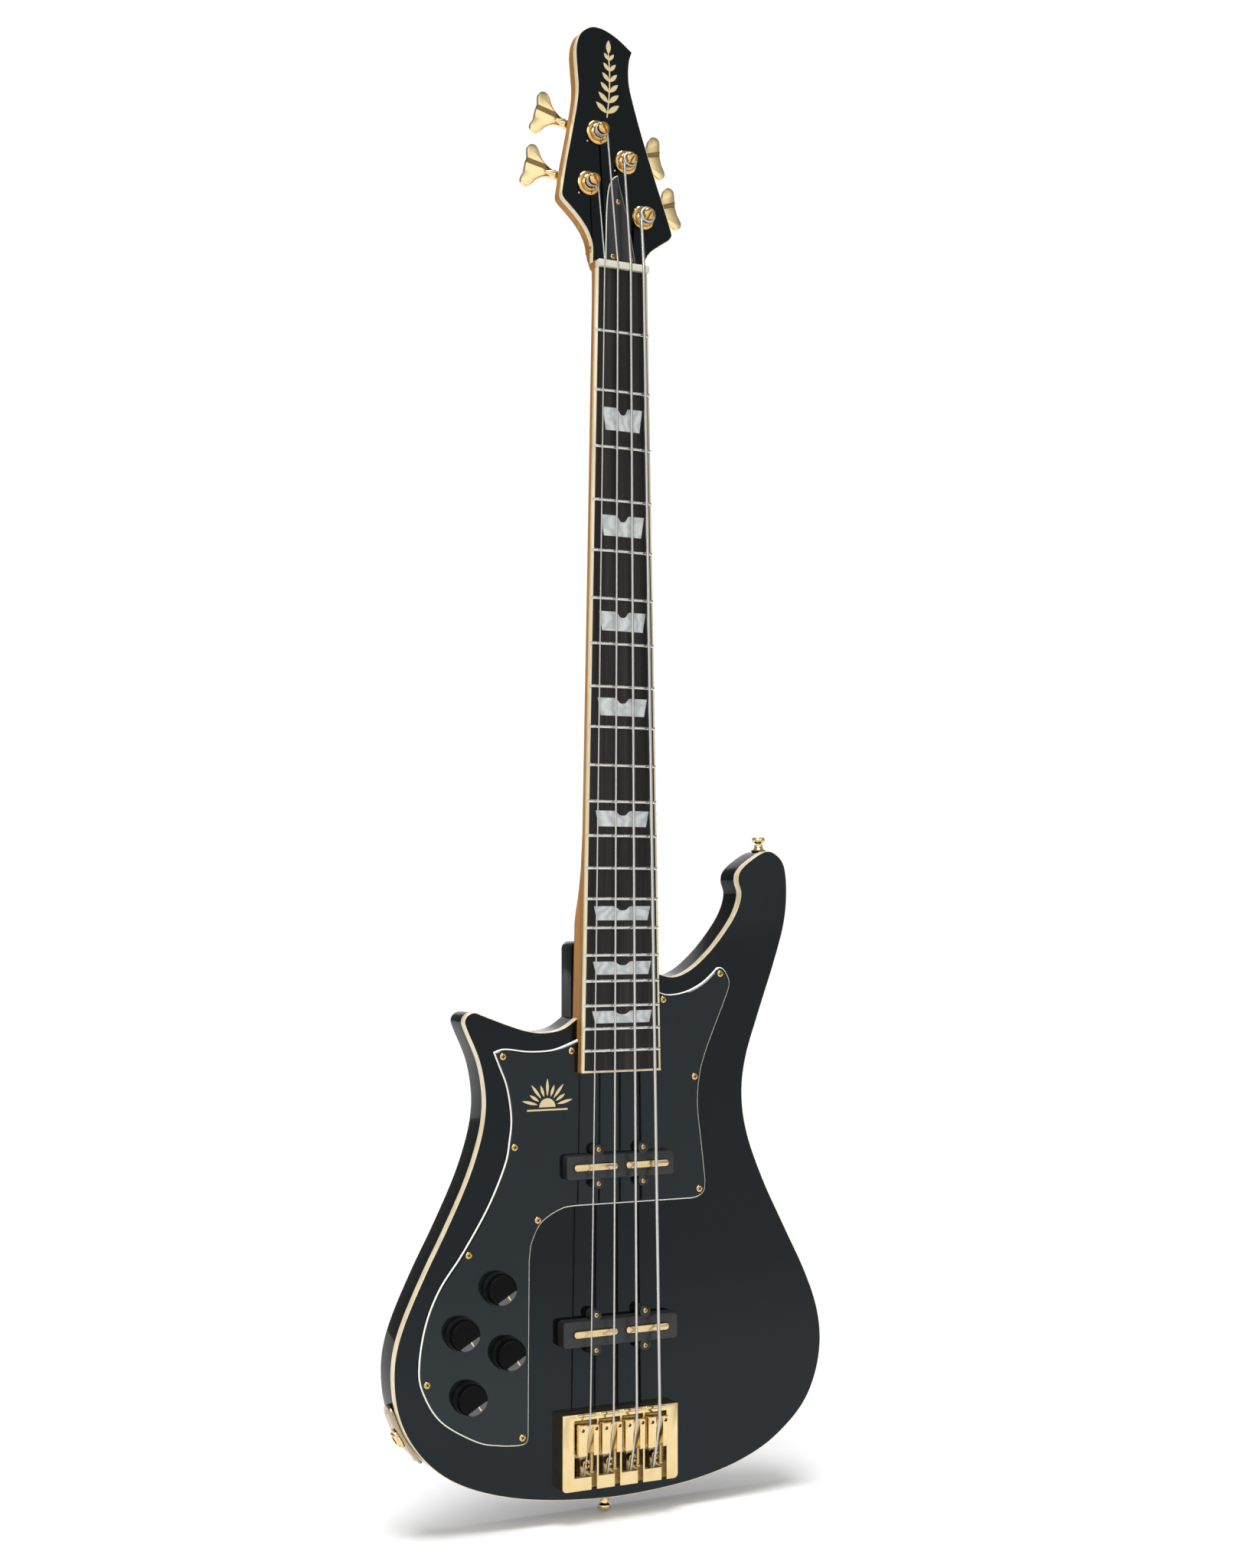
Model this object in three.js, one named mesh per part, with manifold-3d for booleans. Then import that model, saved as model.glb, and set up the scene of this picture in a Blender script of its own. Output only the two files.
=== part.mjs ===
// Left-handed four-string solid-body electric bass.
// Millimetres. X runs to the right seen from the front, +Y to the back, +Z up along the neck.
// The origin is the middle of the flat outer face of the strap button at the tail end.
import * as THREE from "three";
import { mergeVertices } from "three/addons/utils/BufferGeometryUtils.js";
import Module from "manifold-3d";

const wasm = await Module();
wasm.setup();

// ---- driving dimensions ------------------------------------------------------------------
const SCALE_LENGTH = 864;
const NUT_Z = 936;
const SADDLE_Z = NUT_Z - SCALE_LENGTH;
const GAP = 0.3;

const BODY_FRONT = -19;
const BODY_BACK = 13;
const BACK_ROUND = 5;
const BODY_BINDING = { width: 1.2, depth: 7, lip: 0.5 };
const HEEL = { top: NUT_Z - 511, bottom: NUT_Z - 576, back: 12, halfWidth: 31.8, corner: 6 };

const FRET_COUNT = 20;
const BOARD = { nutHalf: 19.9, taper: 15.7 / SCALE_LENGTH, length: 606.5, crown: -31.1, under: -27, radius: 400 };
const BOARD_BINDING = 1.7;
const FRET = { width: 2.4, crownWidth: 1.2, height: 1 };
const NUT = { height: 5.5, halfWidth: 21.4, front: -34, back: BOARD.under };
const NECK_TOP = BOARD.under + GAP;
const NECK_BACK = -8;
const TENON = { length: 18, front: BODY_FRONT + 0.5, halfWidth: 31 };
const NECK_PLATE = { halfWidth: 25, low: 313, high: 357, thickness: 2, corner: 5 };
const TRUSS = { radius: 2.5, axisY: -20, low: NUT_Z - 555, high: NUT_Z + 18, channel: 3.5 };

const HEAD = { front: -23, veneer: 2, back: -8.5, binding: 1.2, lip: 0.5, start: NUT_Z + 6.5 };
const COVER = { front: -25.2, back: -23.3 };
const GUARD = { front: BODY_FRONT - 2.9, back: BODY_FRONT - GAP };

const STRINGS = [
  { name: "g", radius: 0.6, tuner: "g", side: 1 },
  { name: "d", radius: 0.8, tuner: "d", side: 1 },
  { name: "a", radius: 1.05, tuner: "a", side: -1 },
  { name: "e", radius: 1.3, tuner: "e", side: -1 },
];
const STRING_PITCH = { nut: 11.03, bridge: 19 };
const STRING_Y = { nut: -33.7, saddle: -35.6, tail: -25.4, post: -30.2 };
const STRING_BREAK = 2;

const TUNERS = {
  d: { x: -17.5, z: NUT_Z + 107, side: -1, tilt: 14 },
  a: { x: 6.5, z: NUT_Z + 87.5, side: 1, tilt: 13.5 },
  g: { x: -25, z: NUT_Z + 66.3, side: -1, tilt: 11 },
  e: { x: 21.5, z: NUT_Z + 46.3, side: 1, tilt: 17.5 },
};
const WORM = { offset: 7.5, y: 1, radius: 2.2 };
const HOUSING = { inner: -11, outer: 13, low: -9, high: 13.5, back: 7 };
const POST = { deepY: 4.6, deepRadius: 3.4, radius: 4.2, waist: 3.9, tipRadius: 4.5, tipY: -35.5 };
const KEY = { thickness: 4.4, wave: 0.9 };

const KNOB = { base: 12.4, top: 10.9, front: BODY_FRONT - 14.2, back: GUARD.front - 0.5, stem: 3 };
const POT = { radius: 12, depth: 9, front: BODY_FRONT + 1, bushing: 4.6, bushingFront: GUARD.front - 1.8 };
const KNOB_PLACES = [[-96.5, 175], [-125, 145], [-89, 128], [-119, 99]];
const CAVITY_DEPTH = 28;

const PICKUPS = {
  neck_pickup: { z: 258.6, width: 89.2, height: 18.2, earX: 18.5, earZ: 12 },
  bridge_pickup: { z: 137.2, width: 94.4, height: 19.4, earX: 20.2, earZ: 12.2 },
};
const PICKUP = { front: BODY_FRONT - 9.7, back: BODY_FRONT + 9, corner: 3, ear: 4.6 };
const BLADE = { inner: 3.6, outer: 39, height: 5, front: BODY_FRONT - 11.7, back: BODY_FRONT - 4 };

const BRIDGE = { width: 95, low: 24, high: 79.5, base: 2.5, rail: 9.5, rim: 9.5, rib: 1.4 };
const BRIDGE_WALL = { front: 4.5, tail: 10, notch: 4.2, corner: 4 };
const SADDLE = { low: 50, high: SADDLE_Z + 0.6, width: 16.6, front: -33.8, travel: 2 };
const SCREW = { radius: 1.5, headRadius: 2.6, head: 3.4, inset: 3.7, y: -25.2, reach: 15 };

const JACK = { y: -3, wallX: -163.3, wallZ: 72.75, normal: THREE.MathUtils.degToRad(210.5), arc: 87.5 };
const JACK_PLATE = { length: 51, height: 20, thickness: 1.8 };
const JACK_BARREL = { radius: 5.8, bore: 3.35, length: 26, nut: 8, nutDepth: 3 };
const BUTTON = { cap: 5.1, neck: 3.5, base: 5, height: 12.9 };
const HORN_BUTTON = { x: 135.5, z: 494.6, height: 10.6 };

// ---- outlines: [x, z] control points of smooth curves --------------------------------------
const BODY_CURVE = [
  [-31, 368], [-43.5, 360], [-59, 357.5], [-74, 359.5], [-91, 365], [-107, 371], [-114, 373.5], [-119, 372],
  [-121.5, 368], [-120, 362], [-110, 339], [-105.5, 317], [-105.5, 299], [-109.5, 279], [-119, 252],
  [-134.5, 219.5], [-151, 188], [-165.5, 157], [-172.5, 135], [-174, 115], [-171, 93.5], [-162.5, 73.5],
  [-148, 55], [-129, 40.5], [-103, 29], [-70, 20.5], [-31, 15.5], [5, 14], [45, 16], [75, 20], [105, 27.5],
  [133, 40], [158.5, 60.5], [172, 82.5], [178, 109], [175.5, 136], [164.5, 166], [145.5, 203], [127, 239.5],
  [113, 275.5], [108.5, 305.5], [112, 334.5], [124, 370], [137, 405.5], [146.5, 436], [149.5, 461],
  [147.5, 482], [140, 491.5], [130.5, 493.5], [117, 486], [108.5, 478.5], [106.5, 471], [109, 460.5], [105, 447],
  [95.5, 432.5], [81, 416], [64.5, 402.5], [49.5, 397], [36, 399.5], [31, 402],
];
const GUARD_CURVES = [
  [[-33.5, 352], [-47, 347], [-57, 345], [-73, 345], [-87, 347], [-94, 347], [-100, 345]],
  [[-100, 345], [-96, 335.5], [-89.5, 319], [-86, 297], [-87.5, 279], [-91, 262.5], [-104, 233.5], [-123.5, 202],
    [-141.5, 177], [-152, 152], [-156.5, 124], [-153.5, 105.5], [-139.5, 83.5], [-112.5, 66.5], [-94, 61.5],
    [-78.5, 60], [-72.5, 61.5], [-71, 65.5]],
  [[-70.5, 190], [-70, 197], [-68, 206.5], [-60.5, 219.5], [-45, 228], [-33, 229.5]],
  [[64, 229], [70.5, 230.5], [75, 234.5], [76, 242]],
  [[76, 242], [73, 268.5], [69.5, 300], [71.5, 323], [76, 338.5], [83, 355.5], [95.5, 384], [97.5, 392.5],
    [95.5, 398.5], [91.5, 403.5], [86.5, 404], [82.5, 400.5], [74, 393.5], [63.5, 388], [53, 385], [42, 384.5],
    [33.5, 387.5]],
];
const HEAD_LEFT = [
  [-21.3, 930], [-21.3, 943], [-21.5, 955], [-25, 965], [-31.5, 974], [-39.5, 982], [-45.5, 987.5], [-47.2, 991],
  [-46.8, 995.5], [-43.4, 1016.5], [-39.3, 1037.5], [-35.2, 1060], [-33.6, 1075], [-34.6, 1090],
  [-35.5, 1104], [-34, 1113], [-30.5, 1119.5], [-23, 1124.5], [-15.5, 1125], [-8, 1123], [1, 1118.5], [11.5, 1111],
];
const HEAD_RIGHT = [
  [11.5, 1111], [9.3, 1104], [8.5, 1093], [10, 1080.5], [16, 1059.5], [22, 1041], [31.3, 1014.5], [40.5, 989.5],
  [45.8, 974], [45.5, 970.5], [43, 967.5], [36, 962.7], [28, 956.5], [24, 951], [21.4, 943], [21.3, 930],
];
const COVER_CURVES = [
  [[-11.4, 944], [-10.7, 979.7], [-9.5, 996], [-7.6, 1004.4], [-4.2, 1009.8], [-0.7, 1011.8]],
  [[-0.7, 1011.8], [0.5, 1005.1], [3.5, 994.3], [7.6, 979.2], [12.3, 956.2], [14.5, 944]],
];
const CAVITY_CURVE = [[-74.5, 196], [-116, 196], [-146, 151], [-147, 111], [-130, 84], [-74.5, 78]];
const KEY_HALF = [
  [20, 2.8], [25, 3.4], [30, 5.6], [34, 9.2], [37, 14], [40.5, 16.6], [44.5, 15.6], [46.2, 12], [44.8, 5.5],
];

// ---- colours --------------------------------------------------------------------------------
const LOOKS = {
  black_gloss: { color: 0x14171a, roughness: 0.12, metalness: 0 },
  black_satin: { color: 0x101214, roughness: 0.35, metalness: 0 },
  cream: { color: 0xd9c79f, roughness: 0.35, metalness: 0 },
  maple: { color: 0xa86f3b, roughness: 0.4, metalness: 0 },
  dark_wood: { color: 0x2b2725, roughness: 0.6, metalness: 0 },
  bone: { color: 0xe6e1d2, roughness: 0.4, metalness: 0 },
  gold: { color: 0xe3bd6a, roughness: 0.18, metalness: 1 },
  nickel: { color: 0xc9c9bf, roughness: 0.3, metalness: 1 },
};

// ---- points and curves ----------------------------------------------------------------------
const vector2 = ([x, z]) => new THREE.Vector2(x, z);

function smooth(controls, perSpan = 2) {
  return new THREE.SplineCurve(controls.map(vector2)).getPoints((controls.length - 1) * perSpan);
}

function joinCurves(curves, perSpan) {
  const points = curves.flatMap((controls) => smooth(controls, perSpan));
  return points.filter((p, i) => i === 0 || p.distanceTo(points[i - 1]) > 0.05);
}

function rectangle(left, low, right, high) {
  return [[left, low], [right, low], [right, high], [left, high]].map(vector2);
}

function roundedRectangle(left, low, right, high, radius, steps = 3) {
  const centres = [[right - radius, high - radius, 0], [left + radius, high - radius, 1],
    [left + radius, low + radius, 2], [right - radius, low + radius, 3]];
  return centres.flatMap(([x, z, quarter]) => Array.from({ length: steps + 1 }, (_, i) => {
    const angle = (quarter + i / steps) * Math.PI / 2;
    return new THREE.Vector2(x + radius * Math.cos(angle), z + radius * Math.sin(angle));
  }));
}

function circle(x, z, radius, steps = 16) {
  return Array.from({ length: steps }, (_, i) => {
    const angle = 2 * Math.PI * i / steps;
    return new THREE.Vector2(x + radius * Math.cos(angle), z + radius * Math.sin(angle));
  });
}

// Moves a closed outline inwards by a distance, with mitred corners.
function inset(points, distance) {
  const turn = THREE.ShapeUtils.area(points) > 0 ? 1 : -1;
  const normal = (a, b) => new THREE.Vector2(a.y - b.y, b.x - a.x).normalize().multiplyScalar(turn);
  return points.map((p, i) => {
    const before = normal(points[(i + points.length - 1) % points.length], p);
    const after = normal(p, points[(i + 1) % points.length]);
    const middle = before.clone().add(after).normalize();
    return p.clone().addScaledVector(middle, distance / Math.max(middle.dot(after), 0.5));
  });
}

// ---- solids ---------------------------------------------------------------------------------
function signedVolume(positions, triangles) {
  const corner = (i) => new THREE.Vector3().fromArray(positions, 3 * i);
  let volume = 0;
  for (let i = 0; i < triangles.length; i += 3) {
    const [a, b, c] = [0, 1, 2].map((k) => corner(triangles[i + k]));
    volume += a.dot(b.cross(c)) / 6;
  }
  return volume;
}

function solid(geometry) {
  const bare = new THREE.BufferGeometry();
  bare.setAttribute("position", geometry.getAttribute("position").clone());
  bare.setIndex(geometry.index);
  const merged = mergeVertices(bare, 1e-4);
  const positions = Float32Array.from(merged.getAttribute("position").array);
  const triangles = [];
  for (let i = 0; i < merged.index.count; i += 3) {
    const [a, b, c] = [0, 1, 2].map((k) => merged.index.getX(i + k));
    if (a !== b && b !== c && c !== a) triangles.push(a, b, c);
  }
  if (signedVolume(positions, triangles) < 0) triangles.reverse();
  return new wasm.Manifold(new wasm.Mesh({
    numProp: 3, vertProperties: positions, triVerts: Uint32Array.from(triangles),
  }));
}

const union = (...solids) => solids.reduce((a, b) => a.add(b));
const cut = (base, ...tools) => tools.reduce((a, b) => a.subtract(b), base);

// A flat piece: an outline in X and Z with its thickness along Y.
function slab(outline, front, back) {
  const settings = { depth: back - front, bevelEnabled: false };
  const geometry = new THREE.ExtrudeGeometry(new THREE.Shape(outline), settings);
  geometry.rotateX(Math.PI / 2);
  geometry.translate(0, back, 0);
  return solid(geometry);
}

function block(left, front, low, right, back, high) {
  const geometry = new THREE.BoxGeometry(right - left, back - front, high - low);
  geometry.translate((left + right) / 2, (front + back) / 2, (low + high) / 2);
  return solid(geometry);
}

// Joins rings with the same number of points; flat caps close the first and the last ring.
// capPlane turns a ring's point into the two coordinates in which the ring is a plain outline.
function lofted(rings, capPlane) {
  const count = rings[0].length;
  const triangles = [];
  for (let r = 0; r + 1 < rings.length; r += 1) {
    for (let i = 0; i < count; i += 1) {
      const j = (i + 1) % count;
      const [a, b, c, d] = [r * count + i, r * count + j, (r + 1) * count + i, (r + 1) * count + j];
      triangles.push(a, b, d, a, d, c);
    }
  }
  const flat = rings[0].map(capPlane);
  const caps = THREE.ShapeUtils.triangulateShape(flat, []);
  const capArea = caps.reduce((sum, cap) => sum + THREE.ShapeUtils.area(cap.map((i) => flat[i])), 0);
  const alongRing = capArea * THREE.ShapeUtils.area(flat) > 0;
  const last = (rings.length - 1) * count;
  for (const cap of caps) {
    const [a, b, c] = alongRing ? cap : [...cap].reverse();
    triangles.push(a, c, b);
    triangles.push(last + a, last + b, last + c);
  }
  const coordinates = rings.flat().flatMap((p) => [p.x, p.y, p.z]);
  const geometry = new THREE.BufferGeometry();
  geometry.setAttribute("position", new THREE.Float32BufferAttribute(coordinates, 3));
  geometry.setIndex(triangles);
  return solid(geometry);
}

// A turned piece: [radius, height] profile that starts and ends on the axis, turned about a direction.
function turned(profile, origin, direction, segments = 16) {
  const geometry = new THREE.LatheGeometry(profile.map(([r, h]) => new THREE.Vector2(r, h)), segments);
  const turn = new THREE.Quaternion().setFromUnitVectors(new THREE.Vector3(0, 1, 0), direction.clone().normalize());
  geometry.applyQuaternion(turn);
  geometry.translate(origin.x, origin.y, origin.z);
  return solid(geometry);
}

const rod = (radius, start, end, segments = 16) => {
  const length = start.distanceTo(end);
  const profile = [[0, 0], [radius, 0], [radius, length], [0, length]];
  return turned(profile, start, end.clone().sub(start), segments);
};

const at = (x, y, z) => new THREE.Vector3(x, y, z);
const TO_FRONT = at(0, -1, 0);

const group = new THREE.Group();

function addPart(name, shape, look) {
  const mesh = shape.getMesh();
  const geometry = new THREE.BufferGeometry();
  geometry.setAttribute("position", new THREE.BufferAttribute(Float32Array.from(mesh.vertProperties), 3));
  geometry.setIndex(new THREE.BufferAttribute(Uint32Array.from(mesh.triVerts), 1));
  geometry.computeVertexNormals();
  const part = new THREE.Mesh(geometry, new THREE.MeshStandardMaterial(LOOKS[look]));
  part.name = name;
  group.add(part);
}

// ---- the neck's measures ----------------------------------------------------------------------
const boardHalf = (z) => BOARD.nutHalf + BOARD.taper * (NUT_Z - z);
const neckHalf = (z) => boardHalf(z) + BOARD_BINDING;
const boardTop = (x) => BOARD.crown + BOARD.radius - Math.sqrt(BOARD.radius ** 2 - x ** 2);
const boardEnd = NUT_Z - BOARD.length;
const neckEnd = boardEnd - BOARD_BINDING;

function neckOutline(extra, low, high) {
  return [[-neckHalf(low) - extra, low], [neckHalf(low) + extra, low],
    [neckHalf(high) + extra, high], [-neckHalf(high) - extra, high]].map(vector2);
}

// ---- body -------------------------------------------------------------------------------------
// The face ends at faceOutline; the binding and the side wall stand a little proud, at wallOutline.
const faceOutline = smooth(BODY_CURVE);
const wallOutline = inset(faceOutline, -BODY_BINDING.lip);

function bodyBlank() {
  const rings = [[BODY_FRONT, 0]];
  const steps = 3;
  for (let i = 0; i <= steps; i += 1) {
    const angle = i / steps * Math.PI / 2;
    rings.push([BODY_BACK - BACK_ROUND * (1 - Math.sin(angle)), BACK_ROUND * (1 - Math.cos(angle))]);
  }
  const ring = ([y, distance]) => inset(wallOutline, distance).map((p) => at(p.x, y, p.y));
  return lofted(rings.map(ring), (p) => new THREE.Vector2(p.x, p.z));
}

function pickupOutline({ z, width, height, earX, earZ }, extra) {
  const [halfWidth, halfHeight] = [width / 2 + extra, height / 2 + extra];
  const box = roundedRectangle(-halfWidth, z - halfHeight, halfWidth, z + halfHeight, PICKUP.corner + extra);
  const ears = [[-1, -1], [1, -1], [1, 1], [-1, 1]].map(([i, j]) => [i * earX, z + j * earZ]);
  return { box, ears };
}

function pickupSolid(pickup, extra, front, back) {
  const { box, ears } = pickupOutline(pickup, extra);
  const bumps = ears.map(([x, z]) => slab(circle(x, z, PICKUP.ear + extra, 12), front, back));
  return union(slab(box, front, back), ...bumps);
}

const jackNormal = at(Math.cos(JACK.normal), 0, Math.sin(JACK.normal));
const jackPoint = at(JACK.wallX, JACK.y, JACK.wallZ);

function body() {
  const heel = slab(roundedRectangle(-HEEL.halfWidth, HEEL.bottom, HEEL.halfWidth, HEEL.top, HEEL.corner),
    NECK_BACK + 0.01, HEEL.back);
  const pocket = slab(neckOutline(GAP, neckEnd - GAP, HEEL.top + 10), BODY_FRONT - 1, NECK_BACK + GAP);
  const tenonHalf = TENON.halfWidth + GAP;
  const tenonLow = neckEnd - TENON.length - GAP;
  const tenon = block(-tenonHalf, BODY_FRONT - 1, tenonLow, tenonHalf, NECK_BACK + GAP, neckEnd + 5);
  const binding = cut(slab(inset(wallOutline, -1), BODY_FRONT - 1, BODY_FRONT + BODY_BINDING.depth + GAP),
    slab(inset(wallOutline, BODY_BINDING.width + GAP), BODY_FRONT - 2, BODY_BACK));
  const cavity = slab(CAVITY_CURVE.map(vector2), BODY_FRONT - 1, BODY_FRONT + CAVITY_DEPTH);
  const jackHole = rod(JACK_BARREL.radius + 0.5, jackPoint.clone().addScaledVector(jackNormal, 5),
    jackPoint.clone().addScaledVector(jackNormal, -38));
  const pockets = Object.values(PICKUPS).map((p) => pickupSolid(p, 0.5, BODY_FRONT - 1, PICKUP.back + 2));
  return cut(union(bodyBlank(), heel), pocket, tenon, binding, cavity, jackHole, ...pockets);
}

function bodyBinding() {
  const outer = slab(wallOutline, BODY_FRONT, BODY_FRONT + BODY_BINDING.depth);
  const inner = slab(inset(wallOutline, BODY_BINDING.width), BODY_FRONT - 1, BODY_BACK);
  const neck = slab(neckOutline(GAP, neckEnd, HEEL.top + 10), BODY_FRONT - 1, BODY_BACK);
  return cut(outer, inner, neck);
}

function pickguard() {
  const plate = slab(joinCurves(GUARD_CURVES, 2), GUARD.front, GUARD.back);
  const neck = slab(neckOutline(GAP, neckEnd - GAP, HEEL.top), GUARD.front - 1, GUARD.back + 1);
  const holes = KNOB_PLACES.map(([x, z]) => slab(circle(x, z, POT.bushing + GAP), GUARD.front - 1, GUARD.back + 1));
  const pickup = pickupSolid(PICKUPS.neck_pickup, 0.4, GUARD.front - 1, GUARD.back + 1);
  return cut(plate, neck, pickup, ...holes);
}

// ---- neck -------------------------------------------------------------------------------------
const headOutline = inset(joinCurves([HEAD_LEFT, HEAD_RIGHT], 2), -HEAD.lip);

// One cross-section of the neck: flat in front, rounded behind; a high power makes it square.
function neckSection({ z, half, front, back, power }) {
  const steps = 14;
  return Array.from({ length: steps + 1 }, (_, i) => {
    const angle = Math.PI * i / steps;
    const side = Math.sign(Math.cos(angle)) * Math.abs(Math.cos(angle)) ** (2 / power);
    return at(half * side, front + (back - front) * Math.abs(Math.sin(angle)) ** (2 / power), z);
  });
}

function neckWood() {
  const stations = [
    { z: neckEnd, front: NECK_TOP, back: NECK_BACK, power: 14 },
    { z: NUT_Z - 497, front: NECK_TOP, back: NECK_BACK, power: 14 },
    { z: NUT_Z - 476, front: NECK_TOP, back: NECK_BACK - 0.3, power: 4 },
    { z: NUT_Z - 440, front: NECK_TOP, back: NECK_BACK - 0.8, power: 2.5 },
    { z: NUT_Z - 20, front: NECK_TOP, back: NECK_BACK - 2, power: 2.4 },
    { z: NUT_Z + 6, front: NECK_TOP, back: NECK_BACK - 1.5, power: 2.8 },
  ].map((s) => ({ ...s, half: neckHalf(Math.min(s.z, NUT_Z)) }));
  const shaft = lofted(stations.map(neckSection), (p) => new THREE.Vector2(p.x, p.y));
  const throatFront = HEAD.front + HEAD.veneer + GAP;
  const throat = lofted([
    { z: NUT_Z + 3, half: 21.5, front: throatFront, back: NECK_BACK - 1.5, power: 2.8 },
    { z: NUT_Z + 16, half: 22, front: throatFront, back: HEAD.back - 0.7, power: 4 },
    { z: NUT_Z + 26, half: 25, front: throatFront, back: HEAD.back, power: 8 },
  ].map(neckSection), (p) => new THREE.Vector2(p.x, p.y));
  const head = cut(slab(headOutline, throatFront, HEAD.back),
    block(-60, HEAD.front, NUT_Z - 20, 60, HEAD.back + 1, NUT_Z + 15));
  const channelBack = TRUSS.axisY + TRUSS.channel;
  const channel = block(-TRUSS.channel, NECK_TOP - 9, TRUSS.low - 2, TRUSS.channel, channelBack, TRUSS.high + 12);
  const tenonLow = neckEnd - TENON.length;
  const tenon = block(-TENON.halfWidth, TENON.front, tenonLow, TENON.halfWidth, NECK_BACK, neckEnd + 5);
  return cut(union(shaft, throat, head, tenon), channel, ...tunerHoles(5));
}

function neckPlate() {
  const { halfWidth, low, high, thickness, corner } = NECK_PLATE;
  const front = BODY_BACK + GAP;
  return slab(roundedRectangle(-halfWidth, low, halfWidth, high, corner), front, front + thickness);
}

function tunerHoles(radius) {
  return Object.values(TUNERS).map(({ x, z }) => slab(circle(x, z, radius), HEAD.front - 1, HEAD.back + 1));
}

function headBinding() {
  const ring = cut(slab(headOutline, HEAD.front, HEAD.front + HEAD.veneer),
    slab(inset(headOutline, HEAD.binding), HEAD.front - 1, HEAD.back));
  return cut(ring, block(-60, HEAD.front - 1, NUT_Z - 20, 60, HEAD.back, HEAD.start));
}

function headFace() {
  const face = slab(inset(headOutline, HEAD.binding + GAP), HEAD.front, HEAD.front + HEAD.veneer);
  const nutEnd = block(-60, HEAD.front - 1, NUT_Z - 20, 60, HEAD.back, HEAD.start);
  const channel = block(-TRUSS.channel, HEAD.front - 1, NUT_Z, TRUSS.channel, HEAD.back, TRUSS.high + 12);
  return cut(face, nutEnd, channel, ...tunerHoles(5));
}

function fretboard() {
  const steps = 6;
  const ring = (z) => {
    const half = boardHalf(z) - GAP / 2;
    const top = Array.from({ length: steps + 1 }, (_, i) => -half + 2 * half * i / steps);
    return [...top.map((x) => at(x, boardTop(x), z)), at(half, BOARD.under, z), at(-half, BOARD.under, z)];
  };
  const board = lofted([ring(boardEnd), ring(NUT_Z)], (p) => new THREE.Vector2(p.x, p.y));
  const fretZ = (number) => NUT_Z - SCALE_LENGTH * (1 - 2 ** (-number / 12));
  const frets = Array.from({ length: FRET_COUNT }, (_, i) => fretWire(fretZ(i + 1)));
  return union(board, ...frets);
}

function fretWire(z) {
  const half = boardHalf(z) - GAP;
  const steps = 3;
  const [foot, crown] = [FRET.width / 2, FRET.crownWidth / 2];
  const section = (x) => [
    at(x, boardTop(x) + 0.5, z - foot), at(x, boardTop(x) + 0.5, z + foot),
    at(x, boardTop(x) - FRET.height, z + crown), at(x, boardTop(x) - FRET.height, z - crown),
  ];
  const rings = Array.from({ length: steps + 1 }, (_, i) => section(-half + 2 * half * i / steps));
  return lofted(rings, (p) => new THREE.Vector2(p.z, p.y));
}

function fretboardBinding() {
  const front = boardTop(boardHalf(NUT_Z));
  const outer = slab(neckOutline(0, neckEnd, NUT_Z), front, BOARD.under);
  const low = boardHalf(boardEnd) + GAP / 2;
  const high = boardHalf(NUT_Z + 5) + GAP / 2;
  const inner = [[-low, boardEnd - GAP], [low, boardEnd - GAP], [high, NUT_Z + 5], [-high, NUT_Z + 5]].map(vector2);
  return cut(outer, slab(inner, front - 3, BOARD.under + 3));
}

const stringX = (index, pitch) => (index - (STRINGS.length - 1) / 2) * pitch;

function nut() {
  const blank = block(-NUT.halfWidth, NUT.front, NUT_Z + GAP, NUT.halfWidth, NUT.back, NUT_Z + NUT.height);
  const slots = STRINGS.map(({ radius }, i) => {
    const x = stringX(i, STRING_PITCH.nut);
    const half = radius + 0.35;
    return block(x - half, NUT.front - 2, NUT_Z - 5, x + half, STRING_Y.nut + half + 0.15, NUT_Z + 15);
  });
  return cut(blank, ...slots);
}

// ---- tuners -------------------------------------------------------------------------------------
// Local axes of a tuner: "out" runs along the key's shaft, away from the headstock; "up" is square to it.
function tunerAxes({ side, tilt }) {
  const angle = THREE.MathUtils.degToRad(tilt);
  const out = at(side * Math.cos(angle), 0, Math.sin(angle));
  const up = at(-side * Math.sin(angle), 0, Math.cos(angle));
  return { out, up };
}

function tunerPoint(tuner, a, y, c) {
  const { out, up } = tunerAxes(tuner);
  return at(tuner.x, y, tuner.z).addScaledVector(out, a).addScaledVector(up, c);
}

function tunerSlab(tuner, outline, front, back) {
  return slab(outline.map(([a, c]) => {
    const p = tunerPoint(tuner, a, 0, c);
    return new THREE.Vector2(p.x, p.z);
  }), front, back);
}

function tunerHousing(tuner) {
  const corners = roundedRectangle(HOUSING.inner, HOUSING.low, HOUSING.outer, HOUSING.high, 3, 3);
  const box = tunerSlab(tuner, corners.map((p) => [p.x, p.y]), HEAD.back + GAP, HOUSING.back);
  const postHole = rod(POST.deepRadius + GAP, at(tuner.x, HEAD.back - 1, tuner.z),
    at(tuner.x, POST.deepY + 0.4, tuner.z));
  const wormHole = rod(WORM.radius + GAP, tunerPoint(tuner, HOUSING.outer + 2, WORM.y, WORM.offset),
    tunerPoint(tuner, HOUSING.inner + 3, WORM.y, WORM.offset));
  return cut(box, postHole, wormHole);
}

function tunerBushing({ x, z }) {
  const [base, step, top, bore] = [HEAD.front - GAP, HEAD.front - 1.6, HEAD.front - 3.4, POST.radius + 0.3];
  const washer = rod(9.25, at(x, base, z), at(x, step, z));
  const ferrule = rod(6.9, at(x, base, z), at(x, top, z), 6);
  return cut(union(washer, ferrule), rod(bore, at(x, base + 1, z), at(x, top - 1, z)));
}

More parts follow.
